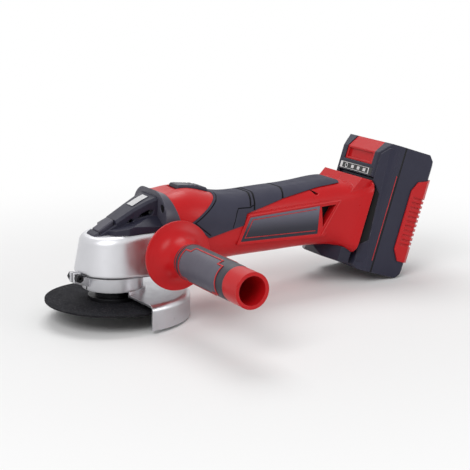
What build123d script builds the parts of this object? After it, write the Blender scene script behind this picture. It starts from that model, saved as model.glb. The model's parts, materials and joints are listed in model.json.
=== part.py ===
from build123d import *
import os
from math import cos, radians, sin

os.makedirs("parts", exist_ok=True)

# Cordless angle grinder of the 115 mm class, in millimetres. The origin lies on the spindle axis at
# the spindle's free end, Z runs up the spindle, X runs back to the battery, the side handle is at -Y.

# Fits
running_fit = 0.05
seat_gap = 0.1
body_gap = 0.3

# Disc and the stack on the spindle, counted up from the spindle's free end
disc_radius = 57.5
disc_thickness = 1.6
disc_bore_radius = 11.115
thread_radius = 7.0
relief_depth = 0.5
relief_width = 0.5
nut_chamfer = 1.0
free_end = 4.6
nut_height = 4.6
nut_radius = 20.5
nut_spigot = 1.3
wrench_hole_radius = 2.3
wrench_hole_circle = 15.0
flange_radius = 21.0
flange_rim = 3.2
flange_hub_radius = 15.0
shoulder_rise = 6.2
flange_socket = 2.5
disc_bottom = free_end + nut_height
disc_top = disc_bottom + disc_thickness
shoulder_z = disc_top + shoulder_rise

# Spindle and its bearings
collar_radius = 9.5
bearing_seat_radius = 7.5
bearing_radius = 16.0
bearing_width = 9.0
bearing_ring = 2.75
bearing_bottom = 24.6
ball_count = 8
journal_radius = 4.5
journal_bottom = 60.6
bush_radius = 6.5
bush_height = 5.0
bush_bottom = 61.6
bush_boss_radius = 8.8

# Bevel gears, with a common apex where the motor axis crosses the spindle axis
motor_z = 66.0
crown_teeth = 38
pinion_teeth = 11
gear_module = 1.13
face_share = 0.31
tooth_addendum = 0.85
tooth_dedendum = 1.3
tooth_thickness = 1.25
tooth_tip = 0.7
crown_bottom = 50.0
crown_hub_radius = 10.5
crown_web_top = 60.0
lock_holes = 12
lock_circle = 11.2
lock_pin_radius = 2.0
lock_hole_radius = 2.3
lock_travel = 3.0
lock_pocket_floor = 66.1
lock_pocket_front = -16.4
lock_pocket_rear = -7.7
lock_pocket_half_width = 7.0

# Gear housing
head_radius = 33.0
housing_bottom = 33.5
housing_top = 69.0
housing_top_rise = 0.1
housing_dome = 7.0
housing_taper = 9.5
housing_lower_edge = 3.0
gear_room_radius = 23.8
gear_room_top = 64.0
flange_plate_radius = 30.0
flange_plate_height = 4.0
flange_spigot = 2.5
neck_radius = 22.5
neck_bottom = 20.9
neck_lip = 10.2
front_block_end = 34.0
hump_radius = 13.5
hump_start = 12.0
tunnel_radius = 8.5

# Body lines: each cross-section's crest point and belly point in X and Z, half width and corner radius.
# The sections start upright and lean back more and more towards the battery foot
body_sections = [
    ((32.0, 104.2), (32.0, 35.0), 33.5, 25.0),
    ((56.0, 101.9), (56.0, 35.2), 34.0, 25.0),
    ((84.0, 97.4), (84.0, 36.0), 32.0, 24.0),
    ((104.0, 93.4), (104.0, 38.0), 29.5, 21.0),
    ((126.0, 93.7), (126.0, 38.8), 28.8, 21.0),
    ((154.0, 95.3), (150.0, 39.5), 28.8, 21.0),
    ((188.0, 97.8), (177.0, 40.6), 29.4, 21.0),
    ((217.0, 98.6), (200.0, 41.2), 32.0, 18.0),
]
grip_thickness = 0.8

# Battery foot and pack lean back together: heights run up the pack, depths run to the rear
lean = 17.0
foot_depth = 203.5
foot_low = 98.0
foot_high = 166.0
foot_half_width = 38.0
foot_corner = 10.0

# Joint between the head and the motor housing, a plane that leans like the pack
parting_x = 49.0
parting_z = 73.0
collar_start = 34.0
collar_wall = 6.0

# Side handle
handle_x = 35.7
handle_z = 54.6
boss_radius = 11.0
boss_face = 36.5
boss_height = 8.0
stud_radius = 4.0
socket_depth = 18.0
handle_flange_radius = 29.3
handle_flange_y = 50.0
handle_end_y = 172.0
handle_end_radius = 14.5
handle_bore_radius = 11.5
handle_bore_depth = 46.0
grip_radius = 14.4
sleeve_start = 72.0
sleeve_end = 151.0
sleeve_thickness = 1.8

# Guard
guard_radius = 66.0
guard_sheet = 2.0
guard_top = 18.7
guard_rim = -2.1
guard_half_angle = 85.0
guard_edge = 5.0
band_thickness = 3.0
band_top = housing_bottom - body_gap
lug_reach = 39.8
lug_top = 37.5
lug_thickness = 3.2
lug_gap = 1.8
lug_turn = 8.0
lug_screw_z = 33.6

standing = (Align.CENTER, Align.CENTER, Align.MIN)

# Reference planes and axes
motor_front = Plane(origin=(0, 0, motor_z), x_dir=(0, 1, 0), z_dir=(1, 0, 0))
motor_side = Plane(origin=(0, 0, motor_z), x_dir=(1, 0, 0), z_dir=(0, -1, 0))
motor_axis = Axis((0, 0, motor_z), (1, 0, 0))
up_pack = (sin(radians(lean)), 0, cos(radians(lean)))
back_pack = (cos(radians(lean)), 0, -sin(radians(lean)))
pack_face = Plane(origin=(0, 0, 0), x_dir=(0, 1, 0), z_dir=back_pack)
pack_plan = Plane(origin=(0, 0, 0), x_dir=(0, -1, 0), z_dir=up_pack)
pack_side = Plane(origin=(0, 0, 0), x_dir=back_pack, z_dir=(0, -1, 0))
parting_plane = Plane(
    origin=(parting_x, 0, parting_z),
    z_dir=(cos(radians(lean)), 0, sin(radians(lean))),
)
handle_side = Plane(origin=(handle_x, 0, handle_z), x_dir=(0, -1, 0), z_dir=(-1, 0, 0))
handle_axis = Axis((handle_x, 0, handle_z), (0, -1, 0))
top_plane = Plane(origin=(0, 0, housing_top), z_dir=(-housing_top_rise, 0, 1))
handle_front = Plane(origin=(handle_x, 0, handle_z), x_dir=(1, 0, 0), z_dir=(0, -1, 0))


def flat(plane, *points):
    """A straight-sided face on a plane."""
    with BuildSketch(plane) as face:
        with BuildLine():
            Polyline(*points, close=True)
        make_face()
    return face.sketch


def body_form(grow):
    """The body as one smooth solid down to the face of the battery foot, grown outwards."""
    with BuildPart() as form:
        for crest, belly, half_width, corner in body_sections:
            middle = ((crest[0] + belly[0]) / 2, 0, (crest[1] + belly[1]) / 2)
            rise = Vector(crest[0] - belly[0], 0, crest[1] - belly[1])
            with BuildSketch(Plane(origin=middle, x_dir=(0, 1, 0), z_dir=(rise.Z, 0, -rise.X))):
                RectangleRounded(2 * (half_width + grow), rise.length + 2 * grow, corner + grow)
        with BuildSketch(pack_face.offset(foot_depth)):
            with Locations((0, (foot_low + foot_high) / 2)):
                RectangleRounded(
                    2 * (foot_half_width + grow), foot_high - foot_low + 2 * grow, foot_corner + grow
                )
        loft()
    return form.part


outer_form = body_form(0)

# Cutting disc
with BuildPart() as cutting_disc:
    with Locations((0, 0, disc_bottom)):
        Cylinder(disc_radius, disc_thickness, align=standing)
        Cylinder(disc_bore_radius, disc_thickness, align=standing, mode=Mode.SUBTRACT)
cutting_disc.part.label = "cutting_disc"
export_step(cutting_disc.part, "parts/cutting_disc.step")

# Clamp nut under the disc, with a spigot in the disc's bore and four holes for the pin wrench
with BuildPart() as clamp_nut:
    with Locations((0, 0, free_end)):
        Cylinder(nut_radius, nut_height, align=standing)
        Cylinder(disc_bore_radius - seat_gap, nut_height + nut_spigot, align=standing)
    chamfer(clamp_nut.faces().sort_by(Axis.Z)[0].outer_wire().edges(), nut_chamfer)
    with Locations((0, 0, free_end)):
        Cylinder(thread_radius + running_fit, nut_height + nut_spigot, align=standing, mode=Mode.SUBTRACT)
        with PolarLocations(wrench_hole_circle, 4):
            Cylinder(wrench_hole_radius, nut_height / 2, align=standing, mode=Mode.SUBTRACT)
clamp_nut.part.label = "clamp_nut"
export_step(clamp_nut.part, "parts/clamp_nut.step")

# Inner flange between the disc and the spindle's shoulder
with BuildPart() as inner_flange:
    with Locations((0, 0, disc_top)):
        Cylinder(flange_radius, flange_rim, align=standing)
        Cylinder(flange_hub_radius, shoulder_rise + flange_socket, align=standing)
        Cylinder(thread_radius + running_fit, shoulder_rise, align=standing, mode=Mode.SUBTRACT)
    with Locations((0, 0, shoulder_z)):
        Cylinder(collar_radius + running_fit, flange_socket, align=standing, mode=Mode.SUBTRACT)
inner_flange.part.label = "inner_flange"
export_step(inner_flange.part, "parts/inner_flange.step")

# Spindle: threaded end, shoulder for the inner flange, bearing seat, gear seat and top journal
bearing_top = bearing_bottom + bearing_width
with BuildPart() as spindle:
    revolve(
        flat(
            Plane.XZ,
            (0, 0),
            (thread_radius, 0),
            (thread_radius, free_end),
            (thread_radius - relief_depth, free_end),
            (thread_radius - relief_depth, free_end + relief_width),
            (thread_radius, free_end + relief_width),
            (thread_radius, shoulder_z),
            (collar_radius, shoulder_z),
            (collar_radius, bearing_bottom),
            (bearing_seat_radius, bearing_bottom),
            (bearing_seat_radius, bearing_top),
            (thread_radius, bearing_top),
            (thread_radius, journal_bottom),
            (journal_radius, journal_bottom),
            (journal_radius, bush_bottom + bush_height),
            (0, bush_bottom + bush_height),
        ),
        axis=Axis.Z,
    )
spindle.part.label = "spindle"
export_step(spindle.part, "parts/spindle.step")

# Spindle bearing: two rings and the balls between them
inner_ring_radius = bearing_seat_radius + bearing_ring
outer_ring_radius = bearing_radius - bearing_ring
ball_radius = (outer_ring_radius - inner_ring_radius) / 2 - running_fit
with BuildPart() as spindle_bearing_outer:
    with Locations((0, 0, bearing_bottom)):
        Cylinder(bearing_radius, bearing_width, align=standing)
        Cylinder(outer_ring_radius, bearing_width, align=standing, mode=Mode.SUBTRACT)
spindle_bearing_outer.part.label = "spindle_bearing_outer"
export_step(spindle_bearing_outer.part, "parts/spindle_bearing_outer.step")

with BuildPart() as spindle_bearing_inner:
    with Locations((0, 0, bearing_bottom)):
        Cylinder(inner_ring_radius, bearing_width, align=standing)
        Cylinder(bearing_seat_radius + running_fit, bearing_width, align=standing, mode=Mode.SUBTRACT)
spindle_bearing_inner.part.label = "spindle_bearing_inner"
export_step(spindle_bearing_inner.part, "parts/spindle_bearing_inner.step")

with BuildPart() as spindle_bearing_balls:
    with Locations((0, 0, bearing_bottom + bearing_width / 2)):
        with PolarLocations((inner_ring_radius + outer_ring_radius) / 2, ball_count):
            Sphere(ball_radius)
spindle_bearing_balls.part.label = "spindle_bearing_balls"
export_step(spindle_bearing_balls.part, "parts/spindle_bearing_balls.step")

# Bush in the roof of the gear housing for the spindle's top journal
with BuildPart() as spindle_top_bush:
    with Locations((0, 0, bush_bottom)):
        Cylinder(bush_radius, bush_height, align=standing)
        Cylinder(journal_radius + running_fit, bush_height, align=standing, mode=Mode.SUBTRACT)
spindle_top_bush.part.label = "spindle_top_bush"
export_step(spindle_top_bush.part, "parts/spindle_top_bush.step")

# Bevel gears: each tooth narrows towards the common apex, so both ends are one outline at two scales
crown_radius = gear_module * crown_teeth / 2
pinion_radius = gear_module * pinion_teeth / 2
inner_share = 1 - face_share
tooth_root_sink = 0.4


def tooth(root_offset, tip_offset, root_width, tip_width):
    """A tooth over the outer gear radius, its offsets counted up from the apex height."""
    with BuildPart() as solid:
        for share in (1.0, inner_share):
            with BuildSketch(Plane.YZ.offset(crown_radius * share)):
                with BuildLine():
                    Polyline(
                        (-root_width / 2 * share, motor_z + root_offset * share),
                        (root_width / 2 * share, motor_z + root_offset * share),
                        (tip_width / 2 * share, motor_z + tip_offset * share),
                        (-tip_width / 2 * share, motor_z + tip_offset * share),
                        close=True,
                    )
                make_face()
        loft(ruled=True)
    return solid.part


flank = (tooth_thickness - tooth_tip) / 2 / tooth_addendum
root_width = tooth_thickness + 2 * flank * (tooth_dedendum + tooth_root_sink)
crown_tooth = tooth(
    -pinion_radius - tooth_dedendum - tooth_root_sink,
    -pinion_radius + tooth_addendum,
    root_width,
    tooth_tip,
)
pinion_tooth = tooth(
    pinion_radius - tooth_dedendum - tooth_root_sink,
    pinion_radius + tooth_addendum,
    root_width,
    tooth_tip,
)

crown_root_outer = motor_z - pinion_radius - tooth_dedendum
crown_root_inner = motor_z - (pinion_radius + tooth_dedendum) * inner_share
with BuildPart() as crown_gear:
    revolve(
        flat(
            Plane.XZ,
            (thread_radius + running_fit, bearing_top),
            (crown_hub_radius, bearing_top),
            (crown_hub_radius, crown_bottom),
            (crown_radius, crown_bottom),
            (crown_radius, crown_root_outer),
            (crown_radius * inner_share, crown_root_inner),
            (crown_radius * inner_share, crown_web_top),
            (thread_radius + running_fit, crown_web_top),
        ),
        axis=Axis.Z,
    )
    with PolarLocations(0, crown_teeth):
        add(crown_tooth)
    with Locations((0, 0, crown_bottom)):
        with PolarLocations(lock_circle, lock_holes):
            Cylinder(lock_hole_radius, crown_web_top - crown_bottom, align=standing, mode=Mode.SUBTRACT)
crown_gear.part.label = "crown_gear"
export_step(crown_gear.part, "parts/crown_gear.step")

# Pinion on the motor shaft
pinion_shaft_radius = 2.6
pinion_hub_radius = 5.6
front_bearing_x = 29.0
pinion_root = pinion_radius - tooth_dedendum
with BuildPart() as pinion:
    revolve(
        flat(
            motor_side,
            (crown_radius * inner_share, pinion_shaft_radius + running_fit),
            (crown_radius * inner_share, pinion_root * inner_share),
            (crown_radius, pinion_root),
            (crown_radius, pinion_hub_radius),
            (front_bearing_x, pinion_hub_radius),
            (front_bearing_x, pinion_shaft_radius + running_fit),
        ),
        axis=motor_axis,
    )
    for step in range(pinion_teeth):
        add(pinion_tooth.rotate(motor_axis, step * 360 / pinion_teeth))
pinion.part.label = "pinion"
export_step(pinion.part, "parts/pinion.step")

# Bearing flange: plate in the gear housing's floor, neck below it for the guard
flange_plate_top = housing_bottom + flange_plate_height
flange_screw_circle = 27.0
flange_screw_radius = 1.5
flange_screw_head = 2.7
flange_screw_length = 12.0
with BuildPart() as bearing_flange:
    with Locations((0, 0, housing_bottom)):
        Cylinder(flange_plate_radius - seat_gap, flange_plate_height, align=standing)
        Cylinder(gear_room_radius - seat_gap, flange_plate_height + flange_spigot, align=standing)
    with Locations((0, 0, neck_bottom)):
        Cylinder(neck_radius, housing_bottom - neck_bottom, align=standing)
        Cylinder(neck_lip, bearing_bottom - neck_bottom, align=standing, mode=Mode.SUBTRACT)
    with Locations((0, 0, bearing_bottom)):
        Cylinder(
            bearing_radius + running_fit,
            flange_plate_top + flange_spigot - bearing_bottom,
            align=standing,
            mode=Mode.SUBTRACT,
        )
    with Locations((0, 0, housing_bottom)):
        with PolarLocations(flange_screw_circle, 4, start_angle=45):
            Cylinder(flange_screw_radius + seat_gap, flange_plate_height, align=standing, mode=Mode.SUBTRACT)
            Cone(
                flange_screw_head + seat_gap,
                flange_screw_radius + seat_gap,
                flange_screw_head - flange_screw_radius,
                align=standing,
                mode=Mode.SUBTRACT,
            )
bearing_flange.part.label = "bearing_flange"
export_step(bearing_flange.part, "parts/bearing_flange.step")

with BuildPart() as flange_screws:
    with Locations((0, 0, housing_bottom)):
        with PolarLocations(flange_screw_circle, 4, start_angle=45):
            Cylinder(flange_screw_radius, flange_screw_length, align=standing)
            Cone(
                flange_screw_head,
                flange_screw_radius,
                flange_screw_head - flange_screw_radius,
                align=standing,
            )
flange_screws.part.label = "flange_screws"
export_step(flange_screws.part, "parts/flange_screws.step")

# Motor stations along X
front_bearing_radius = 11.0
front_bearing_width = 7.0
fan_start = 43.5
fan_end = 51.0
fan_radius = 24.0
fan_room_start = 42.0
fan_room_radius = 26.0
can_start = 54.0
can_end = 112.0
can_radius = 22.0
can_sheet = 1.8
shaft_radius = 4.0
rear_bearing_x = 114.0
rear_bearing_radius = 9.5
rear_bearing_width = 6.0
end_bell_depth = 9.5

# Screws that hold the head to the motor housing, two above in the collar and two below
head_screw_y = 24.0
head_screw_high = 89.0
head_screw_low = 46.0
head_screw_radius = 2.2
head_screw_head = 3.6
head_screw_head_height = 3.0
head_screw_end = 64.0
high_screw_x = collar_start + 4.0
low_screw_x = 42.0
scallop_start = 22.0

# Gear housing: domed front over the crown gear, hump round the pinion, rear end cut at the parting plane
with BuildPart() as gear_housing:
    with BuildSketch(Plane.XY.offset(housing_bottom)):
        Circle(head_radius)
        with Locations((front_block_end / 2, 0)):
            Rectangle(front_block_end, 2 * head_radius)
        with Locations((front_block_end, 0)):
            Rectangle(front_block_end, 2 * head_radius)
    extrude(amount=housing_top - housing_bottom + housing_dome, taper=housing_taper)
    split(bisect_by=Plane.YZ.offset(front_block_end), keep=Keep.BOTTOM)
    split(bisect_by=top_plane, keep=Keep.BOTTOM)
    fillet(gear_housing.faces().sort_by(Axis.Z)[-1].outer_wire().edges(), housing_dome)
    fillet(gear_housing.faces().sort_by(Axis.Z)[0].outer_wire().edges(), housing_lower_edge)
    with BuildSketch(motor_front.offset(hump_start)):
        Circle(hump_radius)
    extrude(amount=fan_room_start - hump_start)

with BuildPart() as rear_block:
    add(outer_form)
    split(bisect_by=parting_plane, keep=Keep.BOTTOM)
    split(bisect_by=top_plane, keep=Keep.BOTTOM)

with BuildPart() as gear_case:
    add(gear_housing.part)
    add(rear_block.part)
    with Locations((0, 0, housing_bottom)):
        Cylinder(flange_plate_radius, flange_plate_height, align=standing, mode=Mode.SUBTRACT)
        Cylinder(gear_room_radius, gear_room_top - housing_bottom, align=standing, mode=Mode.SUBTRACT)
        with PolarLocations(flange_screw_circle, 4, start_angle=45):
            Cylinder(
                flange_screw_radius + seat_gap, flange_screw_length + 1, align=standing, mode=Mode.SUBTRACT
            )
    with Locations((0, 0, bush_bottom)):
        Cylinder(bush_boss_radius, gear_room_top - bush_bottom, align=standing)
        Cylinder(bush_radius + running_fit, bush_height + seat_gap, align=standing, mode=Mode.SUBTRACT)
    with Locations((-lock_circle, 0, gear_room_top)):
        Cylinder(lock_hole_radius, housing_dome, align=standing, mode=Mode.SUBTRACT)
    with BuildSketch(Plane.XY.offset(lock_pocket_floor)):
        with Locations(((lock_pocket_front + lock_pocket_rear) / 2, 0)):
            Rectangle(lock_pocket_rear - lock_pocket_front, 2 * lock_pocket_half_width)
    extrude(amount=housing_dome, mode=Mode.SUBTRACT)
    with BuildSketch(motor_front.offset(hump_start)):
        Circle(tunnel_radius)
    extrude(amount=fan_room_start - hump_start, mode=Mode.SUBTRACT)
    with BuildSketch(motor_front.offset(front_bearing_x)):
        Circle(front_bearing_radius + running_fit)
    extrude(amount=front_bearing_width, mode=Mode.SUBTRACT)
    with BuildSketch(motor_front.offset(fan_room_start)):
        Circle(fan_room_radius)
    extrude(amount=can_start, mode=Mode.SUBTRACT)
    for side in (-1, 1):
        boss_plane = Plane(origin=(handle_x, 0, handle_z), x_dir=(1, 0, 0), z_dir=(0, side, 0))
        with BuildSketch(boss_plane.offset(boss_face)):
            Circle(boss_radius)
        extrude(amount=-boss_height)
        with BuildSketch(boss_plane.offset(boss_face)):
            Circle(stud_radius + running_fit)
        extrude(amount=-socket_depth, mode=Mode.SUBTRACT)
        screw_plane = Plane(
            origin=(0, side * head_screw_y, head_screw_low), x_dir=(0, 1, 0), z_dir=(1, 0, 0)
        )
        with BuildSketch(screw_plane.offset(low_screw_x)):
            Circle(head_screw_head + body_gap)
        extrude(amount=scallop_start - low_screw_x, mode=Mode.SUBTRACT)
        with BuildSketch(screw_plane.offset(scallop_start)):
            Circle(head_screw_radius + seat_gap)
        extrude(amount=head_screw_end, mode=Mode.SUBTRACT)
gear_case.part.label = "gear_housing"
export_step(gear_case.part, "parts/gear_housing.step")

# Collar between the head cover and the motor housing, round the upper half of the fan
with BuildPart() as front_collar:
    add(outer_form)
    split(bisect_by=parting_plane, keep=Keep.BOTTOM)
    split(bisect_by=top_plane, keep=Keep.TOP)
    split(bisect_by=Plane.YZ.offset(collar_start), keep=Keep.TOP)
    with BuildSketch(motor_front.offset(collar_start + collar_wall)):
        Circle(fan_room_radius)
    extrude(amount=can_start, mode=Mode.SUBTRACT)
    with BuildSketch(motor_front.offset(collar_start)):
        Circle(hump_radius + seat_gap)
    extrude(amount=collar_wall, mode=Mode.SUBTRACT)
    air_width = 20.0
    air_height = 9.0
    with BuildSketch(motor_front.offset(collar_start)):
        with Locations((0, hump_radius + air_height / 2 + 2)):
            RectangleRounded(air_width, air_height, 3)
    extrude(amount=collar_wall, mode=Mode.SUBTRACT)
    for side in (-1, 1):
        screw_plane = Plane(
            origin=(0, side * head_screw_y, head_screw_high), x_dir=(0, 1, 0), z_dir=(1, 0, 0)
        )
        with BuildSketch(screw_plane.offset(high_screw_x)):
            Circle(head_screw_head + seat_gap)
        extrude(amount=collar_start - high_screw_x, mode=Mode.SUBTRACT)
        with BuildSketch(screw_plane.offset(high_screw_x)):
            Circle(head_screw_radius + seat_gap)
        extrude(amount=head_screw_end, mode=Mode.SUBTRACT)
front_collar.part.label = "front_collar"
export_step(front_collar.part, "parts/front_collar.step")

with BuildPart() as head_screws:
    for side in (-1, 1):
        for height, seat_x in ((head_screw_high, high_screw_x), (head_screw_low, low_screw_x)):
            screw_plane = Plane(origin=(0, side * head_screw_y, height), x_dir=(0, 1, 0), z_dir=(1, 0, 0))
            with BuildSketch(screw_plane.offset(seat_x)):
                Circle(head_screw_head)
            extrude(amount=-head_screw_head_height)
            with BuildSketch(screw_plane.offset(seat_x)):
                Circle(head_screw_radius)
            extrude(amount=head_screw_end - seat_x)
head_screws.part.label = "head_screws"
export_step(head_screws.part, "parts/head_screws.step")

# Head cover: sloping spine with the lock button and the air outlets, and two low wings on the gear housing
spine_line = [
    (-21.5, 66.4, 8.5),
    (-20.0, 68.2, 9.6),
    (-15.3, 70.8, 10.5),
    (-2.8, 78.6, 11.2),
    (14.0, 88.4, 12.2),
    (25.0, 94.0, 14.0),
    (collar_start, 97.6, 15.5),
]
cover_floor = 60.0
cover_wall = 2.8
spine_edge = 2.2
wing_front = -9.0
wing_reach = 27.0
cover_rim = 1.0
button_front = -15.8
button_rear = -2.6
button_half_width = 6.6
saddle_depth = 3.0
saddle_gap = 0.8
spine_front_width = spine_line[2][2]
spine_rear_width = spine_line[-1][2]
with BuildPart() as spine:
    for station, crest, half_width in spine_line:
        with BuildSketch(Plane.YZ.offset(station)):
            with BuildLine():
                Polyline(
                    (-half_width, cover_floor),
                    (-half_width, crest - spine_edge),
                    (spine_edge - half_width, crest),
                    (half_width - spine_edge, crest),
                    (half_width, crest - spine_edge),
                    (half_width, cover_floor),
                    close=True,
                )
            make_face()
    loft(ruled=True)

with BuildPart() as wings:
    extrude(
        flat(
            Plane.YZ.offset(wing_front),
            (-wing_reach, cover_floor),
            (-wing_reach, 74.6),
            (-spine_rear_width, 81.5),
            (spine_rear_width, 81.5),
            (wing_reach, 74.6),
            (wing_reach, cover_floor),
        ),
        amount=collar_start - wing_front,
    )
    extrude(
        flat(
            Plane.XZ.offset(-wing_reach),
            (wing_front, cover_floor),
            (wing_front, 71.6),
            (4, 74.6),
            (collar_start, 84.0),
            (collar_start, cover_floor),
        ),
        amount=2 * wing_reach,
        mode=Mode.INTERSECT,
    )
    extrude(
        flat(
            Plane.XY.offset(cover_floor),
            (wing_front, -spine_front_width),
            (wing_front + 3, -19),
            (4, -24.5),
            (collar_start, -wing_reach),
            (collar_start, wing_reach),
            (4, 24.5),
            (wing_front + 3, 19),
            (wing_front, spine_front_width),
        ),
        amount=spine_line[-1][1] - cover_floor,
        mode=Mode.INTERSECT,
    )

with BuildPart() as head_cover:
    add(spine.part)
    add(wings.part)
    split(bisect_by=top_plane.offset(-cover_rim), keep=Keep.TOP)
    add([gear_housing.part, rear_block.part], mode=Mode.SUBTRACT)
    with BuildSketch(motor_front.offset(hump_start - 1)):
        Circle(hump_radius + seat_gap)
    extrude(amount=collar_start - hump_start + 1, mode=Mode.SUBTRACT)
    with BuildSketch(Plane.XZ):
        with BuildLine():
            Polyline(
                (button_front - 1, cover_floor),
                (button_front - 1, spine_line[2][1] - cover_wall - 1),
                *[(x, z - cover_wall * 1.2) for x, z, _ in spine_line[3:]],
                (collar_start, cover_floor),
                close=True,
            )
        make_face()
    extrude(amount=spine_front_width - cover_wall, both=True, mode=Mode.SUBTRACT)
    with BuildSketch(Plane.XY.offset(cover_floor)):
        with Locations(((button_front + button_rear) / 2, 0)):
            Rectangle(button_rear - button_front + 2 * body_gap, 2 * (button_half_width + body_gap))
    extrude(amount=spine_line[-1][1] - cover_floor, mode=Mode.SUBTRACT)
    extrude(
        flat(
            Plane.XZ,
            (button_front - saddle_gap, spine_line[2][1] - saddle_depth),
            (button_rear + saddle_gap, spine_line[3][1] - saddle_depth),
            (button_rear + saddle_gap, spine_line[-1][1]),
            (button_front - saddle_gap, spine_line[-1][1]),
        ),
        amount=spine_rear_width,
        both=True,
        mode=Mode.SUBTRACT,
    )
    for outlet in (
        flat(Plane.XZ, (17.0, 80.4), (20.5, 84.2), (26.5, 87.0), (31.0, 86.6), (29.4, 82.4)),
        flat(Plane.XZ, (7.0, 76.6), (11.2, 80.4), (14.0, 79.0), (12.4, 76.8)),
    ):
        extrude(outlet, amount=spine_rear_width + 2, both=True, mode=Mode.SUBTRACT)
head_cover.part.label = "head_cover"
export_step(head_cover.part, "parts/head_cover.step")

# Spindle lock: button on the spine's slope, pin down to the crown gear, spring on the roof below the button
button_floor = lock_pocket_floor + lock_travel + body_gap
button_step = button_floor + 2.8
pin_bottom = crown_web_top + 1.4
button_proud = 0.6
with BuildPart() as lock_button:
    extrude(
        flat(
            Plane.XZ,
            (button_front, button_floor),
            (button_front, spine_line[2][1] + button_proud),
            (button_rear, spine_line[3][1] + button_proud),
            (button_rear, button_step),
            (lock_pocket_rear - body_gap, button_step),
            (lock_pocket_rear - body_gap, button_floor),
        ),
        amount=button_half_width,
        both=True,
    )
    ridge_edges = lock_button.faces().filter_by(lambda face: face.normal_at().Z > 0.5).edges()
    chamfer(ridge_edges.filter_by(lambda edge: abs(edge.center().Y) > button_half_width - seat_gap), 0.8)
lock_button.part.label = "lock_button"
export_step(lock_button.part, "parts/lock_button.step")

with BuildPart() as lock_pin:
    with Locations((-lock_circle, 0, pin_bottom)):
        Cylinder(lock_pin_radius, button_floor - pin_bottom, align=standing)
lock_pin.part.label = "lock_pin"
export_step(lock_pin.part, "parts/lock_pin.step")

spring_wire = 0.45
spring_turns = 3
spring_radius = lock_pin_radius + 0.8
spring_height = button_floor - lock_pocket_floor - 2 * spring_wire - 4 * seat_gap
with BuildPart() as lock_spring:
    with BuildLine() as lock_coil:
        Helix(
            pitch=spring_height / spring_turns,
            height=spring_height,
            radius=spring_radius,
            center=(-lock_circle, 0, lock_pocket_floor + spring_wire + 2 * seat_gap),
        )
    with BuildSketch(Plane(origin=lock_coil.line @ 0, z_dir=lock_coil.line % 0)):
        Circle(spring_wire)
    sweep()
lock_spring.part.label = "lock_spring"
export_step(lock_spring.part, "parts/lock_spring.step")

# Motor shaft with everything that turns on it
rotor_start = crown_radius * inner_share - 0.5
core_start = 64.0
core_end = 96.0
core_radius = 16.8
core_slots = 10
slot_width = 3.6
slot_floor = 9.0
winding_overhang = 6.0
winding_radius = 15.2
commutator_radius = 9.0
commutator_start = 102.6
commutator_end = 111.0
fan_blades = 11
with BuildPart() as armature_shaft:
    revolve(
        flat(
            motor_side,
            (rotor_start, 0),
            (rotor_start, pinion_shaft_radius),
            (front_bearing_x, pinion_shaft_radius),
            (front_bearing_x, shaft_radius),
            (rear_bearing_x + rear_bearing_width, shaft_radius),
            (rear_bearing_x + rear_bearing_width, 0),
        ),
        axis=motor_axis,
    )
armature_shaft.part.label = "armature_shaft"
export_step(armature_shaft.part, "parts/armature_shaft.step")

with BuildPart() as armature_core:
    with BuildSketch(motor_front.offset(core_start)):
        Circle(core_radius)
        Circle(shaft_radius + running_fit, mode=Mode.SUBTRACT)
        with PolarLocations((core_radius + slot_floor) / 2, core_slots):
            Rectangle(core_radius - slot_floor, slot_width, mode=Mode.SUBTRACT)
    extrude(amount=core_end - core_start)
armature_core.part.label = "armature_core"
export_step(armature_core.part, "parts/armature_core.step")

winding_round = 2.0
with BuildPart() as armature_windings:
    for core_face, outward in ((core_start, -1), (core_end, 1)):
        end_face = core_face + outward * winding_overhang
        revolve(
            flat(
                motor_side,
                (core_face, shaft_radius + running_fit),
                (end_face, shaft_radius + running_fit),
                (end_face, winding_radius - winding_round),
                (end_face - outward * winding_round, winding_radius),
                (core_face, winding_radius),
            ),
            axis=motor_axis,
        )
    with BuildSketch(motor_front.offset(core_start)):
        with PolarLocations((winding_radius + slot_floor) / 2, core_slots):
            Rectangle(winding_radius - slot_floor - seat_gap, slot_width - 2 * seat_gap)
    extrude(amount=core_end - core_start)
armature_windings.part.label = "armature_windings"
export_step(armature_windings.part, "parts/armature_windings.step")

with BuildPart() as commutator:
    with BuildSketch(motor_front.offset(commutator_start)):
        Circle(commutator_radius)
        Circle(shaft_radius + running_fit, mode=Mode.SUBTRACT)
        with PolarLocations(commutator_radius, core_slots):
            Rectangle(2.0, 0.6, mode=Mode.SUBTRACT)
    extrude(amount=commutator_end - commutator_start)
commutator.part.label = "commutator"
export_step(commutator.part, "parts/commutator.step")

with BuildPart() as fan:
    with BuildSketch(motor_front.offset(fan_end)):
        Circle(fan_radius)
        Circle(shaft_radius + running_fit, mode=Mode.SUBTRACT)
    extrude(amount=-1.5)
    with BuildSketch(motor_front.offset(fan_start)):
        Circle(shaft_radius + 3)
        Circle(shaft_radius + running_fit, mode=Mode.SUBTRACT)
        with PolarLocations((fan_radius + shaft_radius + 4) / 2, fan_blades):
            Rectangle(fan_radius - shaft_radius - 4, 1.2, rotation=25)
    extrude(amount=fan_end - fan_start)
fan.part.label = "fan"
export_step(fan.part, "parts/fan.step")


def shielded_bearing(start, width, bore, radius):
    """Outer ring with its dust shields, and inner ring, of a bearing on the motor shaft."""
    ring = (radius - bore) * 0.3
    shield = 0.6
    with BuildPart() as outer:
        revolve(
            flat(
                motor_side,
                (start, radius),
                (start + width, radius),
                (start + width, bore + ring + body_gap),
                (start + width - shield, bore + ring + body_gap),
                (start + width - shield, radius - ring),
                (start + shield, radius - ring),
                (start + shield, bore + ring + body_gap),
                (start, bore + ring + body_gap),
            ),
            axis=motor_axis,
        )
    with BuildPart() as inner:
        with BuildSketch(motor_front.offset(start)):
            Circle(bore + ring)
            Circle(bore + running_fit, mode=Mode.SUBTRACT)
        extrude(amount=width)
    return outer.part, inner.part


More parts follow.
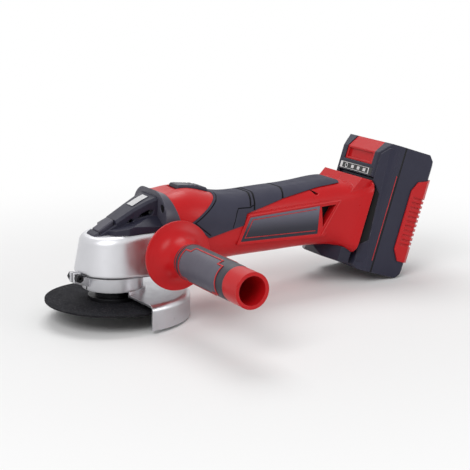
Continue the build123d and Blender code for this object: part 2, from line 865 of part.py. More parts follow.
front_outer, front_inner = shielded_bearing(
    front_bearing_x, front_bearing_width, shaft_radius, front_bearing_radius
)
rear_outer, rear_inner = shielded_bearing(
    rear_bearing_x, rear_bearing_width, shaft_radius, rear_bearing_radius
)
with BuildPart() as motor_bearing_outers:
    add([front_outer, rear_outer])
motor_bearing_outers.part.label = "motor_bearing_outers"
export_step(motor_bearing_outers.part, "parts/motor_bearing_outers.step")

with BuildPart() as motor_bearing_inners:
    add([front_inner, rear_inner])
motor_bearing_inners.part.label = "motor_bearing_inners"
export_step(motor_bearing_inners.part, "parts/motor_bearing_inners.step")

# Motor can, magnets, end bell and brush gear, all fixed in the body
magnet_radius = can_radius - can_sheet
magnet_thickness = magnet_radius - core_radius - 0.4
brush_height = 3.2
brush_start = commutator_start + 1.2
brush_end = commutator_end - 1.0
brush_reach = 16.0
holder_reach = 19.0
holder_wall = 1.2
with BuildPart() as motor_can:
    with BuildSketch(motor_front.offset(can_start)):
        Circle(can_radius)
    extrude(amount=can_end - can_start)
    with BuildSketch(motor_front.offset(can_start + can_sheet)):
        Circle(can_radius - can_sheet)
    extrude(amount=can_end - can_start, mode=Mode.SUBTRACT)
    with BuildSketch(motor_front.offset(can_start)):
        Circle(shaft_radius + 2)
        with PolarLocations(14, 6):
            SlotCenterPoint((0, 0), (2.5, 0), 6)
    extrude(amount=can_sheet, mode=Mode.SUBTRACT)
motor_can.part.label = "motor_can"
export_step(motor_can.part, "parts/motor_can.step")

with BuildPart() as motor_magnets:
    with BuildSketch(motor_front.offset(core_start - 3)):
        Circle(magnet_radius - running_fit)
        Circle(magnet_radius - magnet_thickness, mode=Mode.SUBTRACT)
        Rectangle(2 * can_radius, 18, mode=Mode.SUBTRACT)
    extrude(amount=core_end - core_start + 6)
motor_magnets.part.label = "motor_magnets"
export_step(motor_magnets.part, "parts/motor_magnets.step")

with BuildPart() as motor_end_bell:
    with BuildSketch(motor_front.offset(can_end)):
        Circle(can_radius)
    extrude(amount=end_bell_depth)
    with BuildSketch(motor_front.offset(can_end)):
        Circle(shaft_radius + 1)
        with PolarLocations(16, 4, start_angle=45):
            Circle(3.5)
    extrude(amount=end_bell_depth, mode=Mode.SUBTRACT)
    with BuildSketch(motor_front.offset(can_end)):
        Circle(rear_bearing_radius + running_fit)
    extrude(amount=rear_bearing_x + rear_bearing_width - can_end, mode=Mode.SUBTRACT)
motor_end_bell.part.label = "motor_end_bell"
export_step(motor_end_bell.part, "parts/motor_end_bell.step")

with BuildPart() as brush_holders:
    with BuildSketch(motor_front.offset(brush_start - holder_wall)):
        for side in (-1, 1):
            with Locations((0, side * (commutator_radius + 1 + holder_reach) / 2)):
                Rectangle(2 * (brush_height + holder_wall), holder_reach - commutator_radius - 1)
    extrude(amount=can_end - brush_start + holder_wall)
    with BuildSketch(motor_front.offset(brush_start - running_fit)):
        for side in (-1, 1):
            with Locations((0, side * (commutator_radius + holder_reach - holder_wall) / 2)):
                Rectangle(
                    2 * (brush_height + running_fit), holder_reach - commutator_radius - holder_wall
                )
    extrude(amount=brush_end - brush_start + 2 * running_fit, mode=Mode.SUBTRACT)
brush_holders.part.label = "brush_holders"
export_step(brush_holders.part, "parts/brush_holders.step")

with BuildPart() as carbon_brushes:
    with BuildSketch(motor_front.offset(brush_start)):
        for side in (-1, 1):
            with Locations((0, side * (commutator_radius + brush_reach) / 2)):
                Rectangle(2 * brush_height, brush_reach - commutator_radius)
        Circle(commutator_radius + running_fit, mode=Mode.SUBTRACT)
    extrude(amount=brush_end - brush_start)
carbon_brushes.part.label = "carbon_brushes"
export_step(carbon_brushes.part, "parts/carbon_brushes.step")

# Leaf springs folded between each brush and the end of its holder
leaf = 0.4
leaf_space = holder_reach - holder_wall - brush_reach
with BuildPart() as brush_springs:
    for side in (-1, 1):
        extrude(
            flat(
                motor_front.offset(brush_start + 0.5),
                (-brush_height + 0.4, side * brush_reach),
                (-brush_height + 0.4 + leaf, side * brush_reach),
                (brush_height - 0.4, side * (brush_reach + leaf_space - leaf)),
                (brush_height - 0.4, side * (brush_reach + leaf_space)),
                (brush_height - 0.4 - leaf, side * (brush_reach + leaf_space)),
                (-brush_height + 0.4, side * (brush_reach + leaf)),
            ),
            amount=brush_end - brush_start - 1,
        )
brush_springs.part.label = "brush_springs"
export_step(brush_springs.part, "parts/brush_springs.step")

# Baffle ring that guides the air from the motor into the fan
baffle_start = 52.2
with BuildPart() as fan_baffle:
    with BuildSketch(motor_front.offset(baffle_start)):
        Circle(fan_room_radius - seat_gap)
        Circle(17.5, mode=Mode.SUBTRACT)
    extrude(amount=can_start - baffle_start)
fan_baffle.part.label = "fan_baffle"
export_step(fan_baffle.part, "parts/fan_baffle.step")

# Slide switch on the crest of the body, which slopes down to the rear
crest_slope = 8.7
slide_x = 71.5
slide_z = 99.9
slide_length = 30.0
slide_half_width = 8.6
slide_rise = 3.9
slide_sink = 1.2
slide_travel = 7.0
stem_length = 12.0
stem_half_width = 4.0
stem_depth = 9.7
slide_plane = Plane(
    origin=(slide_x, 0, slide_z),
    x_dir=(cos(radians(crest_slope)), 0, -sin(radians(crest_slope))),
    z_dir=(sin(radians(crest_slope)), 0, cos(radians(crest_slope))),
)
slide_side = Plane(origin=slide_plane.origin, x_dir=slide_plane.x_dir, z_dir=(0, -1, 0))
with BuildPart() as switch_slider:
    with BuildSketch(slide_side):
        with BuildLine():
            Polyline(
                (-slide_length / 2, -slide_sink + body_gap),
                (-slide_length / 2, slide_rise * 0.6),
                (-slide_length / 2 + 3, slide_rise * 0.75),
                (slide_length / 6, slide_rise),
                (slide_length / 2 - 2.5, slide_rise * 0.7),
                (slide_length / 2, slide_rise * 0.2),
                (slide_length / 2, -slide_sink + body_gap),
                close=True,
            )
        make_face()
    extrude(amount=slide_half_width, both=True)
    slide_top = switch_slider.faces().filter_by(lambda face: face.normal_at().Z > 0.5).edges()
    chamfer(slide_top.filter_by(lambda edge: abs(edge.center().Y) > slide_half_width - seat_gap), 1.5)
    with BuildSketch(slide_side):
        for rib in range(4):
            with Locations((-slide_length / 2 + 8 + 4 * rib, slide_rise + 0.2)):
                Circle(0.9)
        with Locations((slide_length / 6 + 1.5, slide_rise)):
            Circle(1.0)
    extrude(amount=slide_half_width, both=True, mode=Mode.SUBTRACT)
    with BuildSketch(slide_plane.offset(-slide_sink + body_gap)):
        Rectangle(stem_length, 2 * stem_half_width)
    extrude(amount=-stem_depth)
switch_slider.part.label = "switch_slider"
export_step(switch_slider.part, "parts/switch_slider.step")

# Inside the body: switch rod over the motor, switch, control board
rod_thickness = 1.4
rod_half_width = 4.4
rod_end = 146.0
rod_z = motor_z + can_radius + 2 * body_gap
rod_start = slide_x - stem_length / 2
switch_start = 134.0
switch_end = 152.0
switch_half_width = 11.0
switch_height = 20.0
board_start = 154.0
board_end = 186.0
board_half_width = 19.0
board_z = 62.0
rib_thickness = 2.0
rib_stations = (58.0, 104.0, switch_start - rib_thickness, switch_end, board_end)
with BuildPart() as switch_link:
    with BuildSketch(Plane.XY.offset(rod_z)):
        with Locations(((rod_start + rod_end) / 2, 0)):
            RectangleRounded(rod_end - rod_start, 2 * rod_half_width, 2)
    extrude(amount=rod_thickness)
    add(switch_slider.part, mode=Mode.SUBTRACT)
switch_link.part.label = "switch_link"
export_step(switch_link.part, "parts/switch_link.step")

with BuildPart() as switch_block:
    with BuildSketch(Plane.YZ.offset(switch_start)):
        with Locations((0, rod_z - body_gap - switch_height / 2)):
            Rectangle(2 * switch_half_width, switch_height)
    extrude(amount=switch_end - switch_start)
    chamfer(switch_block.edges().filter_by(Axis.X), 1.0)
switch_block.part.label = "switch_block"
export_step(switch_block.part, "parts/switch_block.step")

with BuildPart() as control_board:
    with BuildSketch(Plane.XY.offset(board_z)):
        with Locations(((board_start + board_end) / 2, 0)):
            Rectangle(board_end - board_start, 2 * board_half_width)
    extrude(amount=1.6)
    with BuildSketch(Plane.XY.offset(board_z + 1.6)):
        with Locations((board_start + 9, -9), (board_start + 9, 9)):
            Rectangle(10, 12)
        with Locations((board_end - 8, 0)):
            Circle(5)
    extrude(amount=8)
control_board.part.label = "control_board"
export_step(control_board.part, "parts/control_board.step")

# Housing screws run across the joint of the two shells, heads on the far side
housing_screw_places = [
    (80.0, 41.6),
    (129.0, 45.0),
    (162.0, 46.0),
    (200.0, 50.0),
    (206.0, 91.0),
    (166.0, 88.5),
]
housing_screw_radius = 1.7
housing_screw_head = 3.2
housing_boss_radius = 4.4
screw_head_y = 15.0
screw_tip_y = -14.0
screw_face = Plane(origin=(0, screw_head_y, 0), x_dir=(-1, 0, 0), z_dir=(0, 1, 0))
housing_screw_spots = [(-x, z) for x, z in housing_screw_places]
head_screw_spots = [
    (side * head_screw_y, height) for side in (-1, 1) for height in (head_screw_low, head_screw_high)
]
with BuildPart() as housing_screws:
    with BuildSketch(screw_face):
        with Locations(*housing_screw_spots):
            Circle(housing_screw_head)
    extrude(amount=2.4)
    with BuildSketch(screw_face):
        with Locations(*housing_screw_spots):
            Circle(housing_screw_radius)
    extrude(amount=screw_tip_y - screw_head_y)
housing_screws.part.label = "housing_screws"
export_step(housing_screws.part, "parts/housing_screws.step")

# The hollow inside the shells leaves ribs for the motor, the switch and the board, and the screw bosses.
# Each room: start and end along X, bottom, top, half width and corner radius
body_rooms = [
    (52.0, 102.0, 40.6, 90.8, 26.8, 19.0),
    (102.0, 194.0, 42.4, 90.9, 26.0, 18.0),
]
foot_room = [(172.0, 107.0), (172.0, 147.0), (188.0, 156.0), (188.0, 107.0)]
foot_room_half_width = 27.0
rod_room = rod_thickness + slide_travel * sin(radians(crest_slope)) + body_gap
with BuildPart() as hollow:
    for start, end, low, high, half_width, corner in body_rooms:
        with BuildSketch(Plane.YZ.offset(start)):
            with Locations((0, (low + high) / 2)):
                RectangleRounded(2 * half_width, high - low, corner)
        extrude(amount=end - start)
    extrude(
        flat(pack_side, *foot_room),
        amount=foot_room_half_width,
        both=True,
    )
    for station in rib_stations:
        with BuildSketch(Plane.YZ.offset(station)):
            with Locations((0, motor_z)):
                Rectangle(4 * foot_half_width, 4 * foot_half_width)
        extrude(amount=rib_thickness, mode=Mode.SUBTRACT)
    with BuildSketch(Plane(origin=(0, 0, 0), x_dir=(-1, 0, 0), z_dir=(0, 1, 0))):
        with Locations(*housing_screw_spots):
            Circle(housing_boss_radius)
    extrude(amount=foot_half_width, both=True, mode=Mode.SUBTRACT)
    with BuildSketch(Plane.YZ.offset(parting_x - collar_wall)):
        with Locations(*head_screw_spots):
            Circle(head_screw_head + 1)
    extrude(amount=head_screw_end + 2 - parting_x + collar_wall, mode=Mode.SUBTRACT)
    with BuildSketch(motor_front.offset(fan_room_start)):
        Circle(fan_room_radius)
    extrude(amount=can_start - fan_room_start)
    with BuildSketch(motor_front.offset(can_start)):
        Circle(can_radius + running_fit)
    extrude(amount=can_end + end_bell_depth - can_start)
    with BuildSketch(Plane.YZ.offset(rod_start - slide_travel - 1)):
        with Locations((0, rod_z + (rod_room - body_gap) / 2)):
            Rectangle(2 * (rod_half_width + body_gap), rod_room + body_gap)
    extrude(amount=rod_end - rod_start + slide_travel + 2)

# Battery rail channel in the foot, open at the top, and the block that carries the contact blades
rail_depth = 8.5
rail_lip = 3.6
rail_half_width = 29.4
rail_mouth_half_width = 24.0
rail_low = 106.0
block_low = 112.0
block_high = 132.0
block_half_width = 18.0
block_depth = 5.5
blade_spacing = 10.0
blade_thickness = 0.8
blade_reach = 4.0
channel_floor = foot_depth - rail_depth
with BuildPart() as rail_channel:
    with BuildSketch(pack_plan.offset(rail_low)):
        with BuildLine():
            Polyline(
                (-rail_half_width, channel_floor),
                (-rail_half_width, foot_depth - rail_lip),
                (-rail_mouth_half_width, foot_depth - rail_lip),
                (-rail_mouth_half_width, foot_depth + rail_lip),
                (rail_mouth_half_width, foot_depth + rail_lip),
                (rail_mouth_half_width, foot_depth - rail_lip),
                (rail_half_width, foot_depth - rail_lip),
                (rail_half_width, channel_floor),
                close=True,
            )
        make_face()
    extrude(amount=foot_high + rail_depth - rail_low)

with BuildPart() as battery_terminal_block:
    with BuildSketch(pack_face.offset(channel_floor)):
        with Locations((0, (block_low + block_high) / 2)):
            Rectangle(2 * block_half_width, block_high - block_low)
    extrude(amount=-block_depth)
    with BuildSketch(pack_face.offset(channel_floor)):
        for place in (-1, 0, 1):
            with Locations((place * blade_spacing, (block_low + block_high) / 2)):
                Rectangle(blade_thickness, block_high - block_low - 2)
    extrude(amount=blade_reach)
battery_terminal_block.part.label = "battery_terminal_block"
export_step(battery_terminal_block.part, "parts/battery_terminal_block.step")

# Soft grip moulded over the top and flanks of both shells
grip_outline = [
    (86.0, 120.0),
    (89.5, 98.5),
    (84.0, 93.5),
    (57.0, 76.8),
    (74.0, 62.2),
    (109.8, 69.0),
    (113.4, 79.0),
    (152.0, 88.6),
    (192.0, 95.6),
    (213.0, 98.0),
    (217.0, 101.5),
    (217.0, 120.0),
]
with BuildPart() as grip_pad:
    extrude(flat(Plane.XZ, *grip_outline), amount=2 * foot_half_width, both=True)
    add(body_form(grip_thickness), mode=Mode.INTERSECT)
    add(outer_form, mode=Mode.SUBTRACT)
grip_pad.part.label = "grip_pad"
export_step(grip_pad.part, "parts/grip_pad.step")

# Side panel of the left shell: a raised frame round the name plate's place, which stays bare
panel_y = 30.4
panel_thickness = 4.0
panel_outline = [(103.2, 52.6), (114.6, 78.8), (211.0, 85.0), (194.0, 52.0)]
plate_outline = [(107.0, 55.0), (116.2, 75.8), (187.8, 80.2), (186.0, 55.0)]
plate_sink = 1.0
plate_proud = 0.2
air_slot = [(189.6, 79.2), (204.6, 80.4), (191.6, 60.6)]
air_notch = [(182.0, 94.0), (189.4, 90.2), (186.2, 88.6)]
slot_start = 20.0

# Wall of the foot in front of the rail channel
lip_half_width = 30.5
lip_base = 150.0
lip_wall = 2.8
lip_outline = [
    (channel_floor - 4 * lip_wall, lip_base),
    (channel_floor - lip_wall, foot_high),
    (foot_depth, foot_high),
    (foot_depth, lip_base),
]
with BuildPart() as side_plate:
    extrude(flat(Plane.XZ.offset(panel_y - plate_sink), *plate_outline), amount=plate_sink - plate_proud)
side_plate.part.label = "side_plate"
export_step(side_plate.part, "parts/side_plate.step")

# Both shells are cut from one body, split along the middle
with BuildPart() as body:
    add(outer_form)
    extrude(flat(pack_side, *lip_outline), amount=lip_half_width, both=True)
    split(bisect_by=parting_plane, keep=Keep.TOP)
    add([hollow.part, rail_channel.part], mode=Mode.SUBTRACT)
    for side in (-1, 1):
        with BuildSketch(Plane.XZ.offset(-side * slot_start)):
            with BuildLine():
                Polyline(*air_slot, close=True)
            make_face()
            with BuildLine():
                Polyline(*air_notch, close=True)
            make_face()
        extrude(amount=-side * foot_half_width, mode=Mode.SUBTRACT)
    with BuildSketch(pack_face.offset(channel_floor)):
        with Locations((0, (block_low + block_high) / 2)):
            Rectangle(2 * block_half_width, block_high - block_low)
    extrude(amount=-block_depth, mode=Mode.SUBTRACT)
    with BuildSketch(slide_plane.offset(-slide_sink)):
        with Locations((-slide_travel / 2, 0)):
            RectangleRounded(
                slide_length + slide_travel + 4 * body_gap, 2 * (slide_half_width + body_gap), body_gap
            )
    extrude(amount=2 * slide_rise, mode=Mode.SUBTRACT)
    with BuildSketch(slide_plane):
        with Locations((-slide_travel / 2, 0)):
            Rectangle(stem_length + slide_travel + 4 * body_gap, 2 * (stem_half_width + body_gap))
    extrude(amount=-stem_depth - slide_sink, mode=Mode.SUBTRACT)
    with BuildSketch(screw_face):
        with Locations(*housing_screw_spots):
            Circle(housing_screw_head + seat_gap)
    extrude(amount=foot_half_width, mode=Mode.SUBTRACT)
    with BuildSketch(screw_face):
        with Locations(*housing_screw_spots):
            Circle(housing_screw_radius + running_fit)
    extrude(amount=screw_tip_y - screw_head_y - 1, mode=Mode.SUBTRACT)
    with BuildSketch(Plane.YZ.offset(parting_x - collar_wall)):
        with Locations(*head_screw_spots):
            Circle(head_screw_radius + running_fit)
    extrude(amount=head_screw_end + seat_gap - parting_x + collar_wall, mode=Mode.SUBTRACT)

with BuildPart() as left_housing_shell:
    add(body.part)
    split(bisect_by=Plane.XZ, keep=Keep.TOP)
    extrude(flat(Plane.XZ.offset(panel_y), *panel_outline), amount=-panel_thickness)
    extrude(flat(Plane.XZ.offset(panel_y), *plate_outline), amount=-plate_sink, mode=Mode.SUBTRACT)
    extrude(flat(Plane.XZ.offset(slot_start), *air_slot), amount=foot_half_width, mode=Mode.SUBTRACT)
left_housing_shell.part.label = "left_housing_shell"
export_step(left_housing_shell.part, "parts/left_housing_shell.step")

with BuildPart() as right_housing_shell:
    add(body.part)
    split(bisect_by=Plane.XZ, keep=Keep.BOTTOM)
right_housing_shell.part.label = "right_housing_shell"
export_step(right_housing_shell.part, "parts/right_housing_shell.step")

# Cap under the battery foot, which the tool stands on
foot_cap_half_width = 30.0
foot_cap_nose = 178.0
foot_cap_nose_half_width = 4.0
foot_cap_shoulder = 192.0
foot_cap_low = 87.4
foot_cap_high = 101.0
foot_cap_outline = [
    (foot_cap_nose, foot_cap_high),
    (foot_cap_nose + 1.0, foot_cap_low + 6.0),
    (foot_cap_nose + 6.0, foot_cap_low),
    (foot_depth, foot_cap_low),
    (foot_depth, foot_cap_high),
]
with BuildPart() as foot_cap:
    extrude(flat(pack_side, *foot_cap_outline), amount=foot_cap_half_width, both=True)
    extrude(
        flat(
            pack_plan.offset(foot_cap_low),
            (-foot_cap_nose_half_width, foot_cap_nose),
            (foot_cap_nose_half_width, foot_cap_nose),
            (foot_cap_half_width, foot_cap_shoulder),
            (foot_cap_half_width, foot_depth),
            (-foot_cap_half_width, foot_depth),
            (-foot_cap_half_width, foot_cap_shoulder),
        ),
        amount=foot_cap_high - foot_cap_low,
        mode=Mode.INTERSECT,
    )
    add(outer_form, mode=Mode.SUBTRACT)
foot_cap.part.label = "foot_cap"
export_step(foot_cap.part, "parts/foot_cap.step")

# Side handle: red moulding with a dished flange and a hollow end, soft sleeve, stud in the head
handle_hub_radius = 12.5
handle_flange_edge = 3.0
handle_dish = 4.6
dish_radius = 20.4
stud_embed = 30.0
trumpet_end = sleeve_start - 2.0
with BuildPart() as handle_body:
    with BuildSketch(handle_side):
        with BuildLine():
            rim_outer = (handle_flange_y + handle_flange_edge / 2, handle_flange_radius)
            Spline(
                rim_outer,
                (handle_flange_y + handle_dish, dish_radius),
                (trumpet_end, grip_radius),
                tangents=[(0.15, -1), (1, 0)],
            )
            Polyline(
                (trumpet_end, grip_radius),
                (sleeve_start, grip_radius),
                (sleeve_start, grip_radius - sleeve_thickness),
                (sleeve_end, grip_radius - sleeve_thickness),
                (sleeve_end, grip_radius),
                (handle_end_y, handle_end_radius),
                (handle_end_y, handle_bore_radius),
                (handle_end_y - handle_bore_depth, handle_bore_radius - 1),
                (handle_end_y - handle_bore_depth, 0),
                (boss_face + stud_embed, 0),
                (boss_face + stud_embed, stud_radius + running_fit),
                (boss_face, stud_radius + running_fit),
                (boss_face, handle_hub_radius - 1),
                (boss_face + 4, handle_hub_radius),
                (handle_flange_y - handle_flange_edge / 2, handle_flange_radius - 1),
                (handle_flange_y - handle_flange_edge / 2 + 1, handle_flange_radius),
                rim_outer,
            )
        make_face()
    revolve(axis=handle_axis)
handle_body.part.label = "handle_body"
export_step(handle_body.part, "parts/handle_body.step")

with BuildPart() as handle_sleeve:
    revolve(
        flat(
            handle_side,
            (sleeve_start, grip_radius - sleeve_thickness),
            (sleeve_start, grip_radius + 0.2),
            (sleeve_start + 3, grip_radius + 0.5),
            (sleeve_end - 3, grip_radius + 0.3),
            (sleeve_end, grip_radius),
            (sleeve_end, grip_radius - sleeve_thickness),
        ),
        axis=handle_axis,
    )
handle_sleeve.part.label = "handle_sleeve"
export_step(handle_sleeve.part, "parts/handle_sleeve.step")

with BuildPart() as handle_stud:
    with BuildSketch(handle_front.offset(boss_face - socket_depth + 1)):
        Circle(stud_radius)
    extrude(amount=socket_depth - 1 + stud_embed)
handle_stud.part.label = "handle_stud"
export_step(handle_stud.part, "parts/handle_stud.step")

# Guard: a half-round shroud of sheet metal, its band clamped on the neck of the bearing flange
band_radius = neck_radius + body_gap
band_outer = band_radius + band_thickness
lip_top = guard_top + 3.2
lug_inner = head_radius + 2 * body_gap
lug_screw_x = (lug_inner + lug_reach) / 2
lug_screw_radius = 2.0
lug_screw_head = 3.4
lug_screw_head_height = 4.0
with BuildPart() as guard_shroud:
    with BuildSketch(Plane.XZ):
        with BuildLine():
            Polyline(
                (band_outer, lip_top),
                (band_outer, guard_top - guard_sheet),
                (guard_radius - guard_edge, guard_top - guard_sheet),
            )
            RadiusArc(
                (guard_radius - guard_edge, guard_top - guard_sheet),
                (guard_radius - guard_sheet, guard_top - guard_edge),
                guard_edge - guard_sheet,
            )
            Polyline(
                (guard_radius - guard_sheet, guard_top - guard_edge),
                (guard_radius - guard_sheet, guard_rim),
                (guard_radius, guard_rim),
                (guard_radius, guard_top - guard_edge),
            )
            RadiusArc(
                (guard_radius, guard_top - guard_edge),
                (guard_radius - guard_edge, guard_top),
                -guard_edge,
            )
            Polyline(
                (guard_radius - guard_edge, guard_top),
                (band_outer + guard_sheet, guard_top),
                (band_outer + guard_sheet, lip_top),
                (band_outer, lip_top),
            )
        make_face()
    revolve(axis=Axis.Z, revolution_arc=2 * guard_half_angle)
guard_body = guard_shroud.part.rotate(Axis.Z, -guard_half_angle)
guard_body.label = "guard_shroud"
export_step(guard_body, "parts/guard_shroud.step")

with BuildPart() as guard_band:
    with Locations((0, 0, neck_bottom)):
        Cylinder(band_outer, band_top - neck_bottom, align=standing)
    for side in (-1, 1):
        extrude(
            flat(
                Plane.XZ.offset(-side * lug_gap / 2),
                (-band_radius - 1, neck_bottom + 3),
                (-lug_reach, neck_bottom + 8.5),
                (-lug_reach, lug_top),
                (-lug_inner, lug_top),
                (-lug_inner, band_top),
                (-band_radius - 1, band_top),
            ),
            amount=-side * lug_thickness,
        )
    with Locations((0, 0, neck_bottom)):
        Cylinder(band_radius, band_top - neck_bottom, align=standing, mode=Mode.SUBTRACT)
    with Locations((-(band_radius + lug_reach) / 2, 0, (neck_bottom + lug_top) / 2)):
        Box(lug_reach - band_radius + 4, lug_gap, lug_top - neck_bottom + 2, mode=Mode.SUBTRACT)
    with BuildSketch(Plane.XZ.offset(lug_reach)):
        with Locations((-lug_screw_x, lug_screw_z)):
            Circle(lug_screw_radius + running_fit)
    extrude(amount=-2 * lug_reach, mode=Mode.SUBTRACT)
clamp_band = guard_band.part.rotate(Axis.Z, lug_turn)
clamp_band.label = "guard_band"
export_step(clamp_band, "parts/guard_band.step")

lug_face = lug_gap / 2 + lug_thickness
with BuildPart() as guard_clamp_screw:
    with BuildSketch(Plane.XZ.offset(lug_face)):
        with Locations((-lug_screw_x, lug_screw_z)):
            Circle(lug_screw_head)
    extrude(amount=lug_screw_head_height)
    with BuildSketch(Plane.XZ.offset(lug_face + lug_screw_head_height)):
        with Locations((-lug_screw_x, lug_screw_z)):
            RegularPolygon(1.7, 6)
    extrude(amount=-2.5, mode=Mode.SUBTRACT)
    with BuildSketch(Plane.XZ.offset(lug_face)):
        with Locations((-lug_screw_x, lug_screw_z)):
            Circle(lug_screw_radius)
    extrude(amount=-2 * lug_face - 3)
clamp_screw = guard_clamp_screw.part.rotate(Axis.Z, lug_turn)
clamp_screw.label = "guard_clamp_screw"
export_step(clamp_screw, "parts/guard_clamp_screw.step")

with BuildPart() as guard_clamp_nut:
    with BuildSketch(Plane.XZ.offset(-lug_face)):
        with Locations((-lug_screw_x, lug_screw_z)):
            RegularPolygon(3.9, 6)
            Circle(lug_screw_radius + running_fit, mode=Mode.SUBTRACT)
    extrude(amount=-2.6)
band_nut = guard_clamp_nut.part.rotate(Axis.Z, lug_turn)
band_nut.label = "guard_clamp_nut"
export_step(band_nut, "parts/guard_clamp_nut.step")

# Battery pack: rail case on the foot and base case behind it, ten cells across, release button and gauge
pack_low = 85.0
pack_high = 203.0
pack_front = 209.0
pack_shoulder = foot_depth + 0.5
pack_shoulder_low = foot_high + 2.5
pack_slope_low = 192.0
pack_slope_depth = 8.0
pack_seam = 225.0
pack_rear = 262.5
pack_half_width = 38.5
pack_front_half_width = 27.0
pack_flank_start = 218.0
pack_corner = 4.0
pack_lower_edge = 8.5
pack_upper_edge = 9.0
cell_radius = 9.1
cell_length = 65.0
cell_pitch = 18.6
cell_first = 106.8
cell_front = 232.0
cell_room = 0.6
cell_rear = cell_front + cell_pitch
cell_last = cell_first + 4 * cell_pitch
rail_tip = channel_floor + body_gap
rail_back = foot_depth - rail_lip - body_gap
rail_bottom = rail_low + body_gap
rail_head = rail_half_width - body_gap
rail_stem = rail_mouth_half_width - body_gap
button_low = 180.0
button_back = 216.0
release_half_width = 21.5
release_sink = 1.0
release_travel = 4.0
gauge_low = 170.0
gauge_high = 177.0
gauge_half_width = 25.0
gauge_sheet = 1.0
gauge_button_y = 14.4
gauge_button_radius = 2.6
gauge_travel = 0.8
contact_slot = 1.6
contact_sheet = 0.7


def pack_block(front, rear, low, high, half_width):
    """A block square to the pack's lean."""
    with BuildPart() as block:
        extrude(
            flat(pack_side, (front, low), (rear, low), (rear, high), (front, high)),
            amount=half_width,
            both=True,
        )
    return block.part


def pack_prism(grow):
    """The pack's plan drawn up over its whole height, grown outwards."""
    with BuildPart() as prism:
        with BuildSketch(pack_plan.offset(pack_low - 1)):
            with BuildLine() as half:
                Polyline(
                    (0, pack_shoulder - grow),
                    (pack_front_half_width, pack_shoulder - grow),
                    (pack_half_width + grow, pack_flank_start),
                    (pack_half_width + grow, pack_rear - pack_corner),
                    (pack_half_width + grow - pack_corner, pack_rear + grow),
                    (0, pack_rear + grow),
                )
                mirror(half.line, about=Plane.YZ)
            make_face()
        extrude(amount=pack_high - pack_low + 2)
    return prism.part


pack_outline = pack_prism(0)
with BuildPart() as battery_rail_case:
    extrude(
        flat(
            pack_side,
            (pack_front + 3, pack_low),
            (pack_front, pack_low + 3),
            (pack_front, pack_shoulder_low),
            (pack_shoulder, pack_shoulder_low + 1),
            (pack_shoulder, pack_slope_low),
            (pack_shoulder + pack_slope_depth, pack_high),
            (pack_seam, pack_high),
            (pack_seam, pack_low),
        ),
        amount=pack_half_width,
        both=True,
    )
    add(pack_outline, mode=Mode.INTERSECT)
    add(pack_block(rail_tip, rail_back, rail_bottom, foot_high, rail_head))
    add(pack_block(rail_back, pack_front, rail_bottom, foot_high, rail_stem))
    add(
        [
            pack_block(pack_front + 5, pack_seam, pack_low + 4, foot_high, cell_length / 2 + cell_room),
            pack_block(
                cell_front - cell_radius - cell_room,
                pack_seam,
                pack_low + 4,
                cell_last + cell_radius + cell_room,
                cell_length / 2 + cell_room,
            ),
            pack_block(
                pack_shoulder - 1,
                button_back + release_travel + body_gap,
                button_low - body_gap,
                pack_high + 1,
                release_half_width + body_gap,
            ),
            pack_block(
                pack_shoulder - 1,
                pack_shoulder + gauge_sheet,
                gauge_low - seat_gap,
                gauge_high + seat_gap,
                gauge_half_width + seat_gap,
            ),
        ],
        mode=Mode.SUBTRACT,
    )
    with BuildSketch(pack_face.offset(pack_shoulder)):
        with Locations((gauge_button_y, (gauge_low + gauge_high) / 2)):
            Circle(gauge_button_radius + body_gap)
    extrude(amount=gauge_sheet + 3, mode=Mode.SUBTRACT)
    with BuildSketch(pack_plan.offset(rail_bottom)):
        for place in (-1, 0, 1):
            with Locations((place * blade_spacing, rail_tip + blade_reach / 2)):
                Rectangle(2 * contact_slot, blade_reach + 2 * body_gap)
    extrude(amount=block_high + 2 - rail_bottom, mode=Mode.SUBTRACT)
battery_rail_case.part.label = "battery_rail_case"
export_step(battery_rail_case.part, "parts/battery_rail_case.step")

with BuildPart() as base_form:
    extrude(
        flat(
            pack_side,
            (pack_seam, pack_low),
            (pack_seam, pack_high),
            (pack_rear - pack_upper_edge, pack_high),
            (pack_rear, pack_high - pack_upper_edge),
            (pack_rear, pack_low + pack_lower_edge),
            (pack_rear - pack_lower_edge, pack_low),
        ),
        amount=pack_half_width,
        both=True,
    )
    add(pack_outline, mode=Mode.INTERSECT)

with BuildPart() as battery_base_case:
    add(base_form.part)
    add(
        pack_block(
            pack_seam,
            cell_rear + cell_radius + cell_room,
            cell_first - cell_radius - cell_room,
            cell_last + cell_radius + cell_room,
            cell_length / 2 + cell_room,
        ),
        mode=Mode.SUBTRACT,
    )
battery_base_case.part.label = "battery_base_case"
export_step(battery_base_case.part, "parts/battery_base_case.step")

# Ribbed bumpers along both rear edges of the pack
bumper_proud = 1.3
bumper_floor = 0.4
bumper_low = 101.0
bumper_high = 181.0
bumper_inner = 26.0
bumper_front = 243.5
bumper_grooves = 11
groove_pitch = 4.4
groove_width = 1.8
groove_first = 116.0
with BuildPart() as bumper_cuts:
    for groove in range(bumper_grooves):
        add(
            pack_block(
                bumper_front + 4,
                pack_rear + 2 * bumper_proud,
                groove_first + groove * groove_pitch,
                groove_first + groove * groove_pitch + groove_width,
                pack_half_width + 2 * bumper_proud,
            )
        )
    add(pack_prism(bumper_floor), mode=Mode.SUBTRACT)

